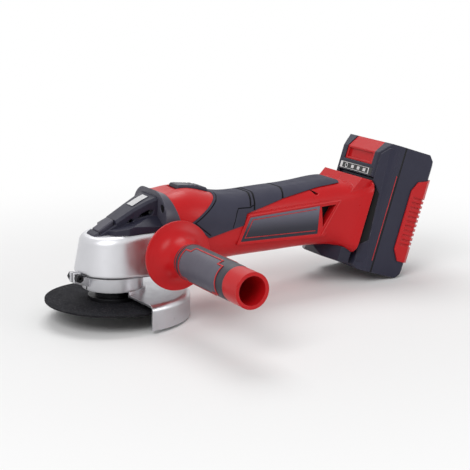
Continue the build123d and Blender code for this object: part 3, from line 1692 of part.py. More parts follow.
with BuildPart() as battery_bumpers:
    for side in (-1, 1):
        extrude(
            flat(
                pack_side.offset(-side * bumper_inner),
                (pack_rear + bumper_proud, bumper_low),
                (bumper_front + 7, bumper_low),
                (bumper_front, bumper_low + 10),
                (bumper_front, bumper_high - 14),
                (bumper_front + 5, bumper_high - 5),
                (pack_rear + bumper_proud, bumper_high),
            ),
            amount=-side * pack_half_width,
        )
    add(pack_prism(bumper_proud), mode=Mode.INTERSECT)
    add([base_form.part, bumper_cuts.part], mode=Mode.SUBTRACT)
battery_bumpers.part.label = "battery_bumpers"
export_step(battery_bumpers.part, "parts/battery_bumpers.step")

with BuildPart() as battery_cells:
    with BuildSketch(pack_side.offset(-cell_length / 2)):
        for depth in (cell_front, cell_rear):
            for place in range(5):
                with Locations((depth, cell_first + place * cell_pitch)):
                    Circle(cell_radius)
    extrude(amount=cell_length)
battery_cells.part.label = "battery_cells"
export_step(battery_cells.part, "parts/battery_cells.step")

# Contact strips either side of each blade of the tool
with BuildPart() as battery_contacts:
    with BuildSketch(pack_plan.offset(block_low)):
        for place in (-1, 0, 1):
            for flank_side in (-1, 1):
                strip = place * blade_spacing + flank_side * (contact_slot - contact_sheet / 2 - running_fit)
                with Locations((strip, rail_tip + blade_reach / 2)):
                    Rectangle(contact_sheet, blade_reach - 2 * body_gap)
    extrude(amount=block_high - block_low)
battery_contacts.part.label = "battery_contacts"
export_step(battery_contacts.part, "parts/battery_contacts.step")

# Release button, pressed towards the rear, with a recessed thumb face and a spring behind it
with BuildPart() as release_button:
    extrude(
        flat(
            pack_side,
            (pack_shoulder + release_sink, button_low),
            (pack_shoulder + release_sink, pack_slope_low),
            (pack_shoulder + pack_slope_depth + release_sink, pack_high),
            (button_back, pack_high),
            (button_back, button_low),
        ),
        amount=release_half_width,
        both=True,
    )
    add(
        pack_block(
            pack_shoulder - 1,
            pack_shoulder + release_sink + 2.0,
            button_low + 2,
            pack_slope_low - 1.5,
            release_half_width - 2.5,
        ),
        mode=Mode.SUBTRACT,
    )
release_button.part.label = "release_button"
export_step(release_button.part, "parts/release_button.step")

latch_wire = 0.5
latch_room = release_travel + body_gap - 2 * latch_wire - 4 * seat_gap
with BuildPart() as latch_spring:
    with BuildLine() as latch_coil:
        Helix(
            pitch=latch_room / 3,
            height=latch_room,
            radius=3.5,
            center=pack_side.from_local_coords((button_back + latch_wire + 2 * seat_gap, pack_slope_low, 0)),
            direction=back_pack,
        )
    with BuildSketch(Plane(origin=latch_coil.line @ 0, z_dir=latch_coil.line % 0)):
        Circle(latch_wire)
    sweep()
latch_spring.part.label = "latch_spring"
export_step(latch_spring.part, "parts/latch_spring.step")

# Charge gauge: a flat window with the press button at its far end
with BuildPart() as gauge_window:
    add(
        pack_block(
            pack_shoulder - running_fit,
            pack_shoulder + gauge_sheet,
            gauge_low,
            gauge_high,
            gauge_half_width,
        )
    )
    with BuildSketch(pack_face.offset(pack_shoulder - gauge_sheet)):
        with Locations((gauge_button_y, (gauge_low + gauge_high) / 2)):
            Circle(gauge_button_radius + body_gap)
    extrude(amount=3 * gauge_sheet, mode=Mode.SUBTRACT)
gauge_window.part.label = "gauge_window"
export_step(gauge_window.part, "parts/gauge_window.step")

with BuildPart() as gauge_button:
    with BuildSketch(pack_face.offset(pack_shoulder - body_gap)):
        with Locations((gauge_button_y, (gauge_low + gauge_high) / 2)):
            Circle(gauge_button_radius)
    extrude(amount=gauge_sheet + 3 - gauge_travel)
gauge_button.part.label = "gauge_button"
export_step(gauge_button.part, "parts/gauge_button.step")
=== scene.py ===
import json
import math

import bpy
from mathutils import Matrix, Vector

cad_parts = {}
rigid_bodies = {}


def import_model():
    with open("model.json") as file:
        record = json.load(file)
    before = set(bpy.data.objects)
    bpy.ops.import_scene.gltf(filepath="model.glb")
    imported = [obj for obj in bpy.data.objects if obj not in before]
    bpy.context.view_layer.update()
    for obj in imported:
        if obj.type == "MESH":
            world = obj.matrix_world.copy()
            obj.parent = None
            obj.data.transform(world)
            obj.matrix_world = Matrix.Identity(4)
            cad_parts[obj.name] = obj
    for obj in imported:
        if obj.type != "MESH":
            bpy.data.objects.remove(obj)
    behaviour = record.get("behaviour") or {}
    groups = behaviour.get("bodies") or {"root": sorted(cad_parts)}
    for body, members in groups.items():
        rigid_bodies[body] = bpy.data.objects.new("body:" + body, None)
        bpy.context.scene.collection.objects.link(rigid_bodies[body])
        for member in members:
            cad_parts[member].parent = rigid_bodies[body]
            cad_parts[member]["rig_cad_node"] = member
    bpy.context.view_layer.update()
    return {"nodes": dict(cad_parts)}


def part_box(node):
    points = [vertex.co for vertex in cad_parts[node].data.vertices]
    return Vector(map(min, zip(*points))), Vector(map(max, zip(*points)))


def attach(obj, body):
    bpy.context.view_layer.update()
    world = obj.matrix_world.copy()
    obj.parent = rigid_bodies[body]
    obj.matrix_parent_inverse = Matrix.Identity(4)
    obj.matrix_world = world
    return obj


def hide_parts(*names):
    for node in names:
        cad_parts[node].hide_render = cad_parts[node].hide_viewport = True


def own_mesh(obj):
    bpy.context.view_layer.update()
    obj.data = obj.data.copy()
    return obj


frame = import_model()
bpy.ops.object.select_all(action="DESELECT")

# Camera: a long lens that looks at the tool from the front left, a little above it.
# Its place and turn are fitted to the outlines of the disc, the guard, the handle and the body.
view_right = Vector((0.86908, -0.49419, 0.02216))
view_up = Vector((0.09077, 0.20334, 0.97490))
view_back = Vector((-0.48628, -0.84524, 0.22157))
view_spot = (-0.4397, -0.9703, 0.3082)
camera = bpy.data.objects.new("camera", bpy.data.cameras.new("camera"))
bpy.context.scene.collection.objects.link(camera)
camera.data.sensor_width = 36
camera.data.lens = 99.07
view_place = Matrix((view_right, view_up, view_back)).transposed().to_4x4()
view_place.translation = view_spot
camera.matrix_world = view_place
bpy.context.scene.camera = camera
bpy.context.scene.view_settings.view_transform = "Standard"

# Studio floor: pale paper, tilted a little because the tool stands on its guard's rim and the battery's rear edge.
# Near the tool it takes the shadow, further out it fades to white.
floor_size = 24
floor_spot = (0.066, 0, -0.0026)
floor_tilt = -0.0451
shadow_reach = 0.18
white_reach = 0.55


def add_node(tree, kind, inputs, output=0, **settings):
    """Adds a node with its settings, gives its inputs values or links, and returns one of its outputs."""
    node = tree.nodes.new("ShaderNode" + kind)
    for label, value in settings.items():
        setattr(node, label, value)
    for label, value in inputs.items():
        if isinstance(value, bpy.types.NodeSocket):
            tree.links.new(value, node.inputs[label])
        else:
            node.inputs[label].default_value = value
    return node.outputs[output]


def reckon(tree, operation, *values):
    """One sum of a node tree, from numbers and the outputs of other nodes."""
    return add_node(tree, "Math", dict(enumerate(values)), operation=operation)


def seen_rays(tree):
    """One for the rays that show a surface to the camera, zero for those that only carry its light."""
    path = tree.nodes.new("ShaderNodeLightPath").outputs
    straight_or_mirrored = reckon(tree, "MAXIMUM", path["Is Camera Ray"], path["Is Glossy Ray"])
    return reckon(tree, "MAXIMUM", straight_or_mirrored, path["Is Transmission Ray"])


bpy.ops.mesh.primitive_plane_add(size=floor_size, location=floor_spot, rotation=(0, floor_tilt, 0))
floor = bpy.context.object
floor.name = "studio_floor"
floor_paint = bpy.data.materials.new("studio_floor")
floor_paint.use_nodes = True
tree = floor_paint.node_tree
paper = tree.nodes["Principled BSDF"]
paper.inputs["Base Color"].default_value = (0.86, 0.86, 0.86, 1)
paper.inputs["Roughness"].default_value = 0.9
paper.inputs["Specular IOR Level"].default_value = 0.1
glow = add_node(tree, "Emission", {"Strength": 1.0})
place = add_node(tree, "TexCoord", {}, "Object")
from_tool = add_node(tree, "VectorMath", {0: place}, "Value", operation="LENGTH")
fade = add_node(
    tree,
    "MapRange",
    {"Value": from_tool, "From Min": shadow_reach, "From Max": white_reach},
    interpolation_type="SMOOTHSTEP",
)
glow_share = reckon(tree, "MULTIPLY", seen_rays(tree), fade)
blend = add_node(tree, "MixShader", {"Fac": glow_share, 1: paper.outputs["BSDF"], 2: glow})
tree.links.new(blend, tree.nodes["Material Output"].inputs["Surface"])
floor.data.materials.append(floor_paint)

# Studio light: an even room, white where it is seen and dimmer where it only lights the tool.
# A large soft box stands front left, a weaker one on the right and a third above and behind.
room_light = 0.42
room_seen = 1.0
lamp_aim = Vector((0.1, -0.03, 0.06))
world = bpy.data.worlds.new("studio_room")
bpy.context.scene.world = world
world.use_nodes = True
tree = world.node_tree
room = tree.nodes["Background"]
room.inputs["Color"].default_value = (1, 1, 1, 1)
level = add_node(tree, "MapRange", {"Value": seen_rays(tree), "To Min": room_light, "To Max": room_seen})
tree.links.new(level, room.inputs["Strength"])
for name, spot, size, power in (
    ("soft_box_left", (-0.95, -0.75, 1.15), 0.9, 12.0),
    ("soft_box_right", (1.25, -1.25, 0.65), 0.8, 6.0),
    ("soft_box_above", (0.25, 0.65, 1.35), 0.9, 9.0),
):
    lamp = bpy.data.objects.new(name, bpy.data.lights.new(name, "AREA"))
    bpy.context.scene.collection.objects.link(lamp)
    lamp.data.size = size
    lamp.data.energy = power
    lamp.location = spot
    lamp.rotation_euler = (lamp_aim - Vector(spot)).to_track_quat("-Z", "Y").to_euler()

# Motor housing: two red glass-filled nylon shells, moulded with a fine satin grain and screwed together.
# The side handle, the battery's bumpers and its release button are moulded in the same red.


def new_group(name, given, made):
    """A node group, with the sockets that it is given and those that it makes, each by name and kind."""
    group = bpy.data.node_groups.new(name, "ShaderNodeTree")
    for way, sockets in (("INPUT", given), ("OUTPUT", made)):
        for label, kind in sockets:
            group.interface.new_socket(label, in_out=way, socket_type="NodeSocket" + kind)
    return group, group.nodes.new("NodeGroupInput").outputs, group.nodes.new("NodeGroupOutput").inputs


def mixed(tree, share, first, second):
    """The colour between two others, each a colour or the output of another node."""
    return add_node(tree, "Mix", {"Factor": share, "A": first, "B": second}, "Result", data_type="RGBA")


grain_group, given, made = new_group(
    "moulded_grain",
    (("Colour", "Color"), ("Mottle", "Float"), ("Roughness", "Float"), ("Grain", "Float")),
    (("Colour", "Color"), ("Roughness", "Float"), ("Height", "Float")),
)
place = add_node(grain_group, "TexCoord", {}, "Object")
pits = add_node(grain_group, "TexNoise", {"Vector": place, "Scale": given["Grain"], "Detail": 2.0})
clouds = add_node(grain_group, "TexNoise", {"Vector": place, "Scale": 38.0, "Detail": 5.0})
rubs = add_node(grain_group, "TexNoise", {"Vector": place, "Scale": 130.0, "Detail": 4.0})
cloud_shift = reckon(grain_group, "MULTIPLY", reckon(grain_group, "SUBTRACT", clouds, 0.5), given["Mottle"])
brightness = reckon(grain_group, "MULTIPLY_ADD", cloud_shift, 2.0, 1.0)
cloudy = add_node(grain_group, "HueSaturation", {"Value": brightness, "Color": given["Colour"]})
rub_shift = reckon(grain_group, "SUBTRACT", rubs, 0.5)
rubbed = reckon(grain_group, "MULTIPLY_ADD", rub_shift, 0.3, given["Roughness"])
grain_group.links.new(cloudy, made["Colour"])
grain_group.links.new(rubbed, made["Roughness"])
grain_group.links.new(pits, made["Height"])

edge_group, given, made = new_group(
    "edge_wear",
    (("Colour", "Color"), ("Worn Colour", "Color"), ("Rounding", "Float")),
    (("Colour", "Color"), ("Normal", "Vector")),
)
rounded = add_node(edge_group, "Bevel", {"Radius": given["Rounding"]}, samples=4)
wear_reach = reckon(edge_group, "MULTIPLY", given["Rounding"], 0.4)
thinness = add_node(
    edge_group, "AmbientOcclusion", {"Distance": wear_reach}, "AO", inside=True, only_local=True, samples=6
)
edge = add_node(
    edge_group,
    "MapRange",
    {"Value": thinness, "From Min": 0.97, "From Max": 0.55},
    interpolation_type="SMOOTHSTEP",
)
place = add_node(edge_group, "TexCoord", {}, "Object")
scuffs = add_node(edge_group, "TexNoise", {"Vector": place, "Scale": 210.0, "Detail": 4.0})
scuff_share = add_node(
    edge_group, "MapRange", {"Value": scuffs, "From Min": 0.36, "From Max": 0.62, "To Min": 0.25}
)
worn_share = reckon(edge_group, "MULTIPLY", edge, scuff_share)
worn_tone = mixed(edge_group, worn_share, given["Colour"], given["Worn Colour"])
edge_group.links.new(worn_tone, made["Colour"])
edge_group.links.new(rounded, made["Normal"])


def grained(name, colour, roughness, mottle, grain, relief, metallic=0.0, shine=0.5, worn=None, rounding=0.0006):
    """A finish with a fine grain, cloudy tone, rubbed patches and, where given, rounded worn edges.

    Grain is about the number of pits in a metre, relief their height and rounding the radius of the edges.
    """
    finish = bpy.data.materials.new(name)
    finish.use_nodes = True
    tree = finish.node_tree
    surface = tree.nodes["Principled BSDF"]
    surface.inputs["Metallic"].default_value = metallic
    surface.inputs["Specular IOR Level"].default_value = shine
    skin_inputs = {"Colour": (*colour, 1), "Mottle": mottle, "Roughness": roughness, "Grain": grain}
    skin = add_node(tree, "Group", skin_inputs, node_tree=grain_group, name="skin").node.outputs
    bump_inputs = {"Strength": 0.35, "Distance": relief, "Height": skin["Height"]}
    tone = skin["Colour"]
    if worn is not None:
        edge_inputs = {"Colour": tone, "Worn Colour": (*worn, 1), "Rounding": rounding}
        edges = add_node(tree, "Group", edge_inputs, node_tree=edge_group, name="edges").node.outputs
        bump_inputs["Normal"] = edges["Normal"]
        tone = edges["Colour"]
    tree.links.new(tone, surface.inputs["Base Color"])
    tree.links.new(skin["Roughness"], surface.inputs["Roughness"])
    tree.links.new(add_node(tree, "Bump", bump_inputs), surface.inputs["Normal"])
    return finish


def dress(finish, *names):
    """Puts a finish on pieces of the tool."""
    for name in names:
        for slot in frame["nodes"][name].material_slots:
            slot.material = finish


red_nylon = grained(
    "red_nylon", colour=(0.50, 0.007, 0.010), roughness=0.34, mottle=0.09, grain=1500, relief=0.00004,
    shine=0.24, worn=(0.66, 0.045, 0.048), rounding=0.0011,
)
dress(red_nylon, "left_housing_shell", "right_housing_shell")
dress(red_nylon, "handle_body", "battery_bumpers", "release_button")

# Head cover, slide switch and foot cap: anthracite nylon, a little glossier than the grip, screwed or clipped on.
# The fan and the motor's and switch's inner pieces share it, and the collar and the lock button are a paler batch.
anthracite_nylon = grained(
    "anthracite_nylon", colour=(0.022, 0.0215, 0.038), roughness=0.34, mottle=0.16, grain=1300, relief=0.00005,
    shine=0.24, worn=(0.075, 0.072, 0.100), rounding=0.0011,
)
dress(anthracite_nylon, "head_cover", "switch_slider", "foot_cap", "fan_baffle")
dress(anthracite_nylon, "switch_link", "switch_block", "motor_end_bell", "fan")
slate_nylon = grained(
    "slate_nylon", colour=(0.060, 0.057, 0.080), roughness=0.36, mottle=0.14, grain=1300, relief=0.00005,
    shine=0.30, worn=(0.12, 0.115, 0.15), rounding=0.0011,
)
dress(slate_nylon, "front_collar", "lock_button")

# Bare plate on the spine: thin brushed aluminium with a dark border, bent once where the slope eases.
# It is glued on the spine in front of the collar.
spine_slope = ((0.0150, 0.0889), (0.0250, 0.0940), (0.0305, 0.0962))
spine_width = 0.0116
spine_border = 0.0005
spine_thickness = 0.0005
spine_rounding = 0.0002


def thicken(piece, thickness, offset):
    """Makes the active sheet a solid: offset 1 puts its thickness outside the sheet, -1 inside and 0 on both sides."""
    sheet = piece.modifiers.new("sheet", "SOLIDIFY")
    sheet.thickness = thickness
    sheet.offset = offset
    bpy.ops.object.modifier_apply(modifier="sheet")


def soften(piece, width):
    """Rounds the active piece's sharp edges."""
    softened = piece.modifiers.new("softened", "BEVEL")
    softened.width = width
    softened.segments = 2
    softened.limit_method = "ANGLE"
    bpy.ops.object.modifier_apply(modifier="softened")


bpy.ops.mesh.primitive_grid_add(x_subdivisions=len(spine_slope) - 1, y_subdivisions=1, size=1)
spine_plate = bpy.context.object
spine_plate.name = "spine_plate"
for corner in spine_plate.data.vertices:
    x, z = spine_slope[round((corner.co.x + 0.5) * (len(spine_slope) - 1))]
    corner.co = (x, spine_width * corner.co.y, z)
bpy.ops.object.mode_set(mode="EDIT")
bpy.ops.mesh.select_mode(type="FACE")
bpy.ops.mesh.select_all(action="SELECT")
bpy.ops.mesh.inset(thickness=spine_border)
bpy.ops.object.mode_set(mode="OBJECT")
for field in spine_plate.data.polygons:
    field.material_index = 0 if field.select else 1
thicken(spine_plate, spine_thickness, 1)
soften(spine_plate, spine_rounding)
brushed_plate = grained(
    "brushed_plate", colour=(0.56, 0.56, 0.57), roughness=0.36, mottle=0.14, grain=2600, relief=0.00003, metallic=0.7
)
spine_plate.data.materials.append(brushed_plate)
spine_plate.data.materials.append(anthracite_nylon)
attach(spine_plate, "housing")
bpy.ops.object.select_all(action="DESELECT")

# Side plate: the bare plate of smooth satin film set into the red frame, dark below with a painted highlight above.
# One thin red line is printed along three of its sides.
film_dark = (0.020, 0.020, 0.032)
film_painted_highlight = (0.150, 0.150, 0.195)
highlight_low = 0.060
highlight_high = 0.081
line_corners = ((0.1107, 0.0578), (0.1838, 0.0578), (0.1853, 0.0779), (0.1186, 0.0738))
line_face = -0.03022
line_width = 0.0006
line_film = 0.0002
open_end = 0.18
plate_film = grained(
    "plate_film", colour=film_dark, roughness=0.38, mottle=0.10, grain=1800, relief=0.00002, shine=0.3
)
tree = plate_film.node_tree
place = add_node(tree, "TexCoord", {}, "Object")
# Painted highlight: the film's colour fades paler towards the top, like a soft box's reflection.
painted_highlight_share = add_node(
    tree,
    "MapRange",
    {"Value": add_node(tree, "SeparateXYZ", {"Vector": place}, "Z"), "From Min": highlight_low, "From Max": highlight_high},
    interpolation_type="SMOOTHSTEP",
)
plate_tone_with_highlight = mixed(tree, painted_highlight_share, (*film_dark, 1), (*film_painted_highlight, 1))
tree.links.new(plate_tone_with_highlight, tree.nodes["skin"].inputs["Colour"])
dress(plate_film, "side_plate")


def flat_fields(name, outlines):
    """A piece of flat faces, one for each outline of points."""
    for number, outline in enumerate(outlines):
        bpy.ops.mesh.primitive_circle_add(vertices=len(outline), radius=1, fill_type="NGON")
        if number == 0:
            bpy.ops.object.mode_set(mode="EDIT")
    bpy.ops.object.mode_set(mode="OBJECT")
    piece = bpy.context.object
    piece.name = name
    for field, outline in zip(piece.data.polygons, outlines):
        for index, spot in zip(field.vertices, outline):
            piece.data.vertices[index].co = spot
    return piece


def pick_faces(piece, test):
    """Opens the active piece for editing, with those of its faces selected that pass a test."""
    bpy.ops.object.mode_set(mode="EDIT")
    bpy.ops.mesh.select_mode(type="FACE")
    bpy.ops.mesh.select_all(action="DESELECT")
    bpy.ops.object.mode_set(mode="OBJECT")
    for face in piece.data.polygons:
        face.select = test(face)
    bpy.ops.object.mode_set(mode="EDIT")


def leave_border(piece, width, test):
    """Cuts the middle out of the faces that pass a test, so that a border of some width is left."""
    pick_faces(piece, test)
    bpy.ops.mesh.inset(thickness=width)
    bpy.ops.mesh.delete(type="FACE")
    bpy.ops.object.mode_set(mode="OBJECT")


plate_line = flat_fields("plate_line", [[(x, line_face, z) for x, z in line_corners]])
leave_border(plate_line, line_width, lambda face: True)
pick_faces(plate_line, lambda face: face.center.x > open_end)
bpy.ops.mesh.delete(type="FACE")
bpy.ops.object.mode_set(mode="OBJECT")
thicken(plate_line, line_film, 1)
plate_line.data.materials.append(red_nylon)
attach(plate_line, "housing")
bpy.ops.object.select_all(action="DESELECT")

# Frame rim: the raised lip of the red frame round the side plate, moulded in one with the left shell.
# It runs along the frame's top and down its rear end, over the swelling of the foot.
rim_path = ((0.1142, 0.0781), (0.2096, 0.0844), (0.1893, 0.0512))
rim_width = 0.0011
rim_height = 0.0006
rim_steps = 44
corner_step = 32
beside_tool = -0.08
bpy.ops.mesh.primitive_grid_add(x_subdivisions=rim_steps, y_subdivisions=1, size=1)
frame_rim = bpy.context.object
frame_rim.name = "frame_rim"
for point in frame_rim.data.vertices:
    step = round((point.co.x + 0.5) * rim_steps)
    if step <= corner_step:
        (x, z), (end_x, end_z) = rim_path[:2]
        share = step / corner_step
    else:
        (x, z), (end_x, end_z) = rim_path[1:]
        share = (step - corner_step) / (rim_steps - corner_step)
    inner = point.co.y < 0
    shift_x = -rim_width if inner and step >= corner_step else 0
    shift_z = -rim_width if inner and step <= corner_step else 0
    point.co = (x + (end_x - x) * share + shift_x, beside_tool, z + (end_z - z) * share + shift_z)
lie_on = frame_rim.modifiers.new("lie_on", "SHRINKWRAP")
lie_on.target = frame["nodes"]["left_housing_shell"]
lie_on.wrap_method = "PROJECT"
lie_on.use_project_x = False
lie_on.use_project_y = True
lie_on.use_project_z = False
lie_on.use_positive_direction = True
lie_on.use_negative_direction = False
bpy.ops.object.modifier_apply(modifier="lie_on")
bpy.ops.object.mode_set(mode="EDIT")
bpy.ops.mesh.select_all(action="SELECT")
bpy.ops.mesh.extrude_region_move(TRANSFORM_OT_translate={"value": (0, -rim_height, 0)})
bpy.ops.mesh.select_all(action="SELECT")
bpy.ops.mesh.normals_make_consistent(inside=False)
bpy.ops.object.mode_set(mode="OBJECT")
# Painted highlight: the rim's red is paler than the shell's, a highlight line along the lip.
rim_highlight_red = grained(
    "rim_highlight_red", colour=(0.58, 0.030, 0.033), roughness=0.34, mottle=0.05, grain=1500, relief=0.00004, shine=0.3
)
frame_rim.data.materials.append(rim_highlight_red)
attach(frame_rim, "housing")
bpy.ops.object.select_all(action="DESELECT")

# Air inlet shade sheets: near-black flat sheets set behind the two triangular inlets on each side of the foot,
# as painted shade for the dark inside of the foot. Each is a flat piece, cut to its inlet's outline.
inlets = (
    (0.0225, ((0.1896, 0.0790), (0.2046, 0.0803), (0.1916, 0.0606))),
    (0.0205, ((0.1820, 0.0940), (0.1894, 0.0902), (0.1862, 0.0886))),
)
cloth_thickness = 0.0004
inlet_shade_sheets = flat_fields(
    "inlet_shade_sheets",
    [[(x, side * distance, z) for x, z in outline] for side in (-1, 1) for distance, outline in inlets],
)
thicken(inlet_shade_sheets, cloth_thickness, -1)
inlet_shade_black = grained(
    "inlet_shade_black", colour=(0.004, 0.004, 0.005), roughness=0.7, mottle=0.2, grain=2400, relief=0.00020, shine=0.15
)
inlet_shade_sheets.data.materials.append(inlet_shade_black)
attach(inlet_shade_sheets, "housing")
bpy.ops.object.select_all(action="DESELECT")

# Soft grip: thermoplastic rubber moulded over both shells as a thin skin. Grooves run across it, a fine line follows
# its front edge, and a second line bounds the thumb field on each flank. They are cut into a copy of the CAD skin,
# and their colour is painted near black as painted shade in the grooves.
groove_paths = (
    (0.0007, ((0.1335, 0.1045), (0.1273, 0.0982), (0.1221, 0.0922), (0.1186, 0.0850))),
    (0.0007, ((0.1362, 0.1045), (0.1298, 0.0982), (0.1250, 0.0910), (0.1216, 0.0820))),
    (0.0007, ((0.1662, 0.1045), (0.1596, 0.0983), (0.1557, 0.0946), (0.1520, 0.0885))),
    (0.0005, ((0.0880, 0.1180), (0.0913, 0.0976), (0.0852, 0.0920), (0.0600, 0.0764), (0.0754, 0.0644))),
    (0.0004, ((0.1220, 0.0854), (0.1182, 0.0837), (0.1059, 0.0840), (0.1033, 0.0803), (0.0990, 0.0685))),
)
groove_depth = 0.0004
groove_painted_shade = (0.002, 0.002, 0.003, 1)
grip_middle = 0.078
blade_span = 0.1
seam_gap = 0.000002
line_group, given, made = new_group(
    "moulded_line",
    (("From", "Vector"), ("Along", "Vector"), ("Length", "Float"), ("Half Width", "Float")),
    (("Mask", "Float"),),
)
place = add_node(line_group, "TexCoord", {}, "Object")
on_flank = add_node(line_group, "VectorMath", {0: place, 1: (1, 0, 1)}, operation="MULTIPLY")
from_start = add_node(line_group, "VectorMath", {0: on_flank, 1: given["From"]}, operation="SUBTRACT")
run = add_node(line_group, "VectorMath", {0: from_start, 1: given["Along"]}, "Value", operation="DOT_PRODUCT")
run = reckon(line_group, "MINIMUM", reckon(line_group, "MAXIMUM", run, 0.0), given["Length"])
nearest = add_node(line_group, "VectorMath", {0: given["Along"], "Scale": run}, operation="SCALE")
apart = add_node(line_group, "VectorMath", {0: from_start, 1: nearest}, "Value", operation="DISTANCE")
outside = add_node(
    line_group,
    "MapRange",
    {"Value": reckon(line_group, "DIVIDE", apart, given["Half Width"]), "From Min": 0.7, "From Max": 1.5},
    interpolation_type="SMOOTHSTEP",
)
line_group.links.new(outside, made["Mask"])


def moulded_lines(tree, paths):
    """A mask, zero on moulded lines: each is a half width and the points that it follows on the tool's flank."""
    mask = None
    for half_width, points in paths:
        for start, end in zip(points, points[1:]):
            start = Vector((start[0], 0, start[1]))
            along = Vector((end[0], 0, end[1])) - start
            line_inputs = {
                "From": start, "Along": along.normalized(), "Length": along.length, "Half Width": half_width
            }
            line = add_node(tree, "Group", line_inputs, node_tree=line_group)
            mask = line if mask is None else reckon(tree, "MINIMUM", mask, line)
    return mask


def carve(piece, tool):
    """Cuts the shape of a tool out of a piece."""
    bpy.context.view_layer.objects.active = piece
    cut = piece.modifiers.new("cut", "BOOLEAN")
    cut.object = tool
    cut.operation = "DIFFERENCE"
    cut.solver = "EXACT"
    bpy.ops.object.modifier_apply(modifier="cut")


soft_grip = grained(
    "soft_grip", colour=(0.046, 0.046, 0.068), roughness=0.62, mottle=0.18, grain=2200, relief=0.00006,
    shine=0.10, worn=(0.066, 0.066, 0.092),
)
tree = soft_grip.node_tree
# Painted shade: the grooves and lines are coloured near black.
off_groove_shade = moulded_lines(tree, groove_paths)
grip_tone_with_groove_shade = mixed(tree, off_groove_shade, groove_painted_shade, tree.nodes["skin"].outputs["Colour"])
tree.links.new(grip_tone_with_groove_shade, tree.nodes["edges"].inputs["Colour"])
dress(soft_grip, "grip_pad")
bpy.context.view_layer.objects.active = frame["nodes"]["grip_pad"]
frame["nodes"]["grip_pad"].select_set(True)
bpy.ops.object.duplicate()
grooved_grip = bpy.context.object
grooved_grip.name = "grooved_grip"
del grooved_grip["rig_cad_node"]  # the copy is a piece of its own
bpy.ops.object.parent_clear(type="CLEAR_KEEP_TRANSFORM")
bpy.ops.object.mode_set(mode="EDIT")
bpy.ops.mesh.select_all(action="SELECT")
bpy.ops.mesh.remove_doubles(threshold=seam_gap)
bpy.ops.object.mode_set(mode="OBJECT")
# The blades stop at a core, which lies one groove depth below the skin's outer and above its inner side.
bpy.ops.object.duplicate()
grip_core = bpy.context.object
outer_skin = grip_core.vertex_groups.new(name="outer_skin")
for point in grip_core.data.vertices:
    if point.normal.dot((0, point.co.y, point.co.z - grip_middle)) > 0:
        outer_skin.add([point.index], 1, "REPLACE")
for inner_side, distance in ((False, -groove_depth), (True, groove_depth)):
    shift = grip_core.modifiers.new("shift", "DISPLACE")
    shift.strength = distance
    shift.mid_level = 0
    shift.vertex_group = "outer_skin"
    shift.invert_vertex_group = inner_side
    bpy.ops.object.modifier_apply(modifier="shift")
for half_width, points in groove_paths:
    bpy.ops.object.select_all(action="DESELECT")
    bpy.ops.mesh.primitive_grid_add(x_subdivisions=len(points) - 1, y_subdivisions=1, size=1)
    blade = bpy.context.object
    for point in blade.data.vertices:
        x, z = points[round((point.co.x + 0.5) * (len(points) - 1))]
        point.co = (x, blade_span * point.co.y, z)
    thicken(blade, 2 * half_width, 0)
    carve(blade, grip_core)
    carve(grooved_grip, blade)
    bpy.data.objects.remove(blade)
bpy.data.objects.remove(grip_core)
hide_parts("grip_pad")
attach(grooved_grip, "housing")
bpy.ops.object.select_all(action="DESELECT")

# Gear head: die-cast aluminium, blasted and tumbled to a soft bright satin.
# The bearing flange, screwed on below, is cast from the same metal.
cast_aluminium = grained(
    "cast_aluminium", colour=(0.60, 0.60, 0.625), roughness=0.40, mottle=0.09, grain=1900, relief=0.00005,
    metallic=1.0, worn=(0.76, 0.76, 0.78), rounding=0.0009,
)
dress(cast_aluminium, "gear_housing", "bearing_flange")

# Guard: a shroud and a band pressed from steel sheet, with a clear satin finish.
# A black socket screw and its nut close the band, and the tool's other screws, flanges and gears are blackened too.
guard_steel = grained(
    "guard_steel", colour=(0.55, 0.55, 0.575), roughness=0.34, mottle=0.10, grain=900, relief=0.00002,
    metallic=1.0, worn=(0.76, 0.76, 0.78),
)
dress(guard_steel, "guard_shroud", "guard_band")
black_screw = grained(
    "black_screw", colour=(0.012, 0.012, 0.014), roughness=0.36, mottle=0.2, grain=1500, relief=0.00003,
    metallic=0.6, worn=(0.09, 0.09, 0.10),
)
dress(black_screw, "guard_clamp_screw", "guard_clamp_nut", "head_screws", "housing_screws", "flange_screws")
dress(black_screw, "clamp_nut", "inner_flange", "crown_gear", "pinion")

# Turned steel: the spindle, the bearings, the motor's shaft, the lock pin and the handle's stud, all ground bright.
# The motor's can is drawn from bright sheet, and the brush springs are wound from bright wire.
ground_steel = grained(
    "ground_steel", colour=(0.58, 0.58, 0.60), roughness=0.26, mottle=0.06, grain=2500, relief=0.00001, metallic=1.0
)
dress(ground_steel, "spindle", "spindle_bearing_outer", "spindle_bearing_inner", "spindle_bearing_balls")
dress(ground_steel, "motor_bearing_outers", "motor_bearing_inners", "armature_shaft", "lock_pin", "handle_stud")
dress(ground_steel, "motor_can", "brush_springs")

# Lock spring: a coil of round spring wire in the housing's pocket, which lifts the lock button off the gear.
# It is wound from a ring of wire section.
lock_wire = 0.00045
lock_turns = 3


def coil_spring(name, wire, radius, height, turns):
    """A coil spring of round wire standing on the origin."""
    bpy.ops.mesh.primitive_circle_add(
        vertices=10, radius=wire, location=(radius, 0, wire), rotation=(math.radians(90), 0, 0)
    )
    spring = bpy.context.object
    spring.name = name
    bpy.ops.object.transform_apply(location=True, rotation=True, scale=True)
    winding = spring.modifiers.new("winding", "SCREW")
    winding.axis = "Z"
    winding.iterations = turns
    winding.screw_offset = (height - 2 * wire) / turns
    winding.steps = 30
    bpy.ops.object.modifier_apply(modifier="winding")
    bpy.ops.object.mode_set(mode="EDIT")
    bpy.ops.mesh.select_all(action="SELECT")
    bpy.ops.mesh.fill_holes(sides=0)
    bpy.ops.mesh.select_all(action="SELECT")
    bpy.ops.mesh.remove_doubles(threshold=0.000001)
    bpy.ops.mesh.normals_make_consistent(inside=False)
    bpy.ops.object.mode_set(mode="OBJECT")
    bpy.ops.object.shade_smooth_by_angle(angle=math.radians(50))
    return spring


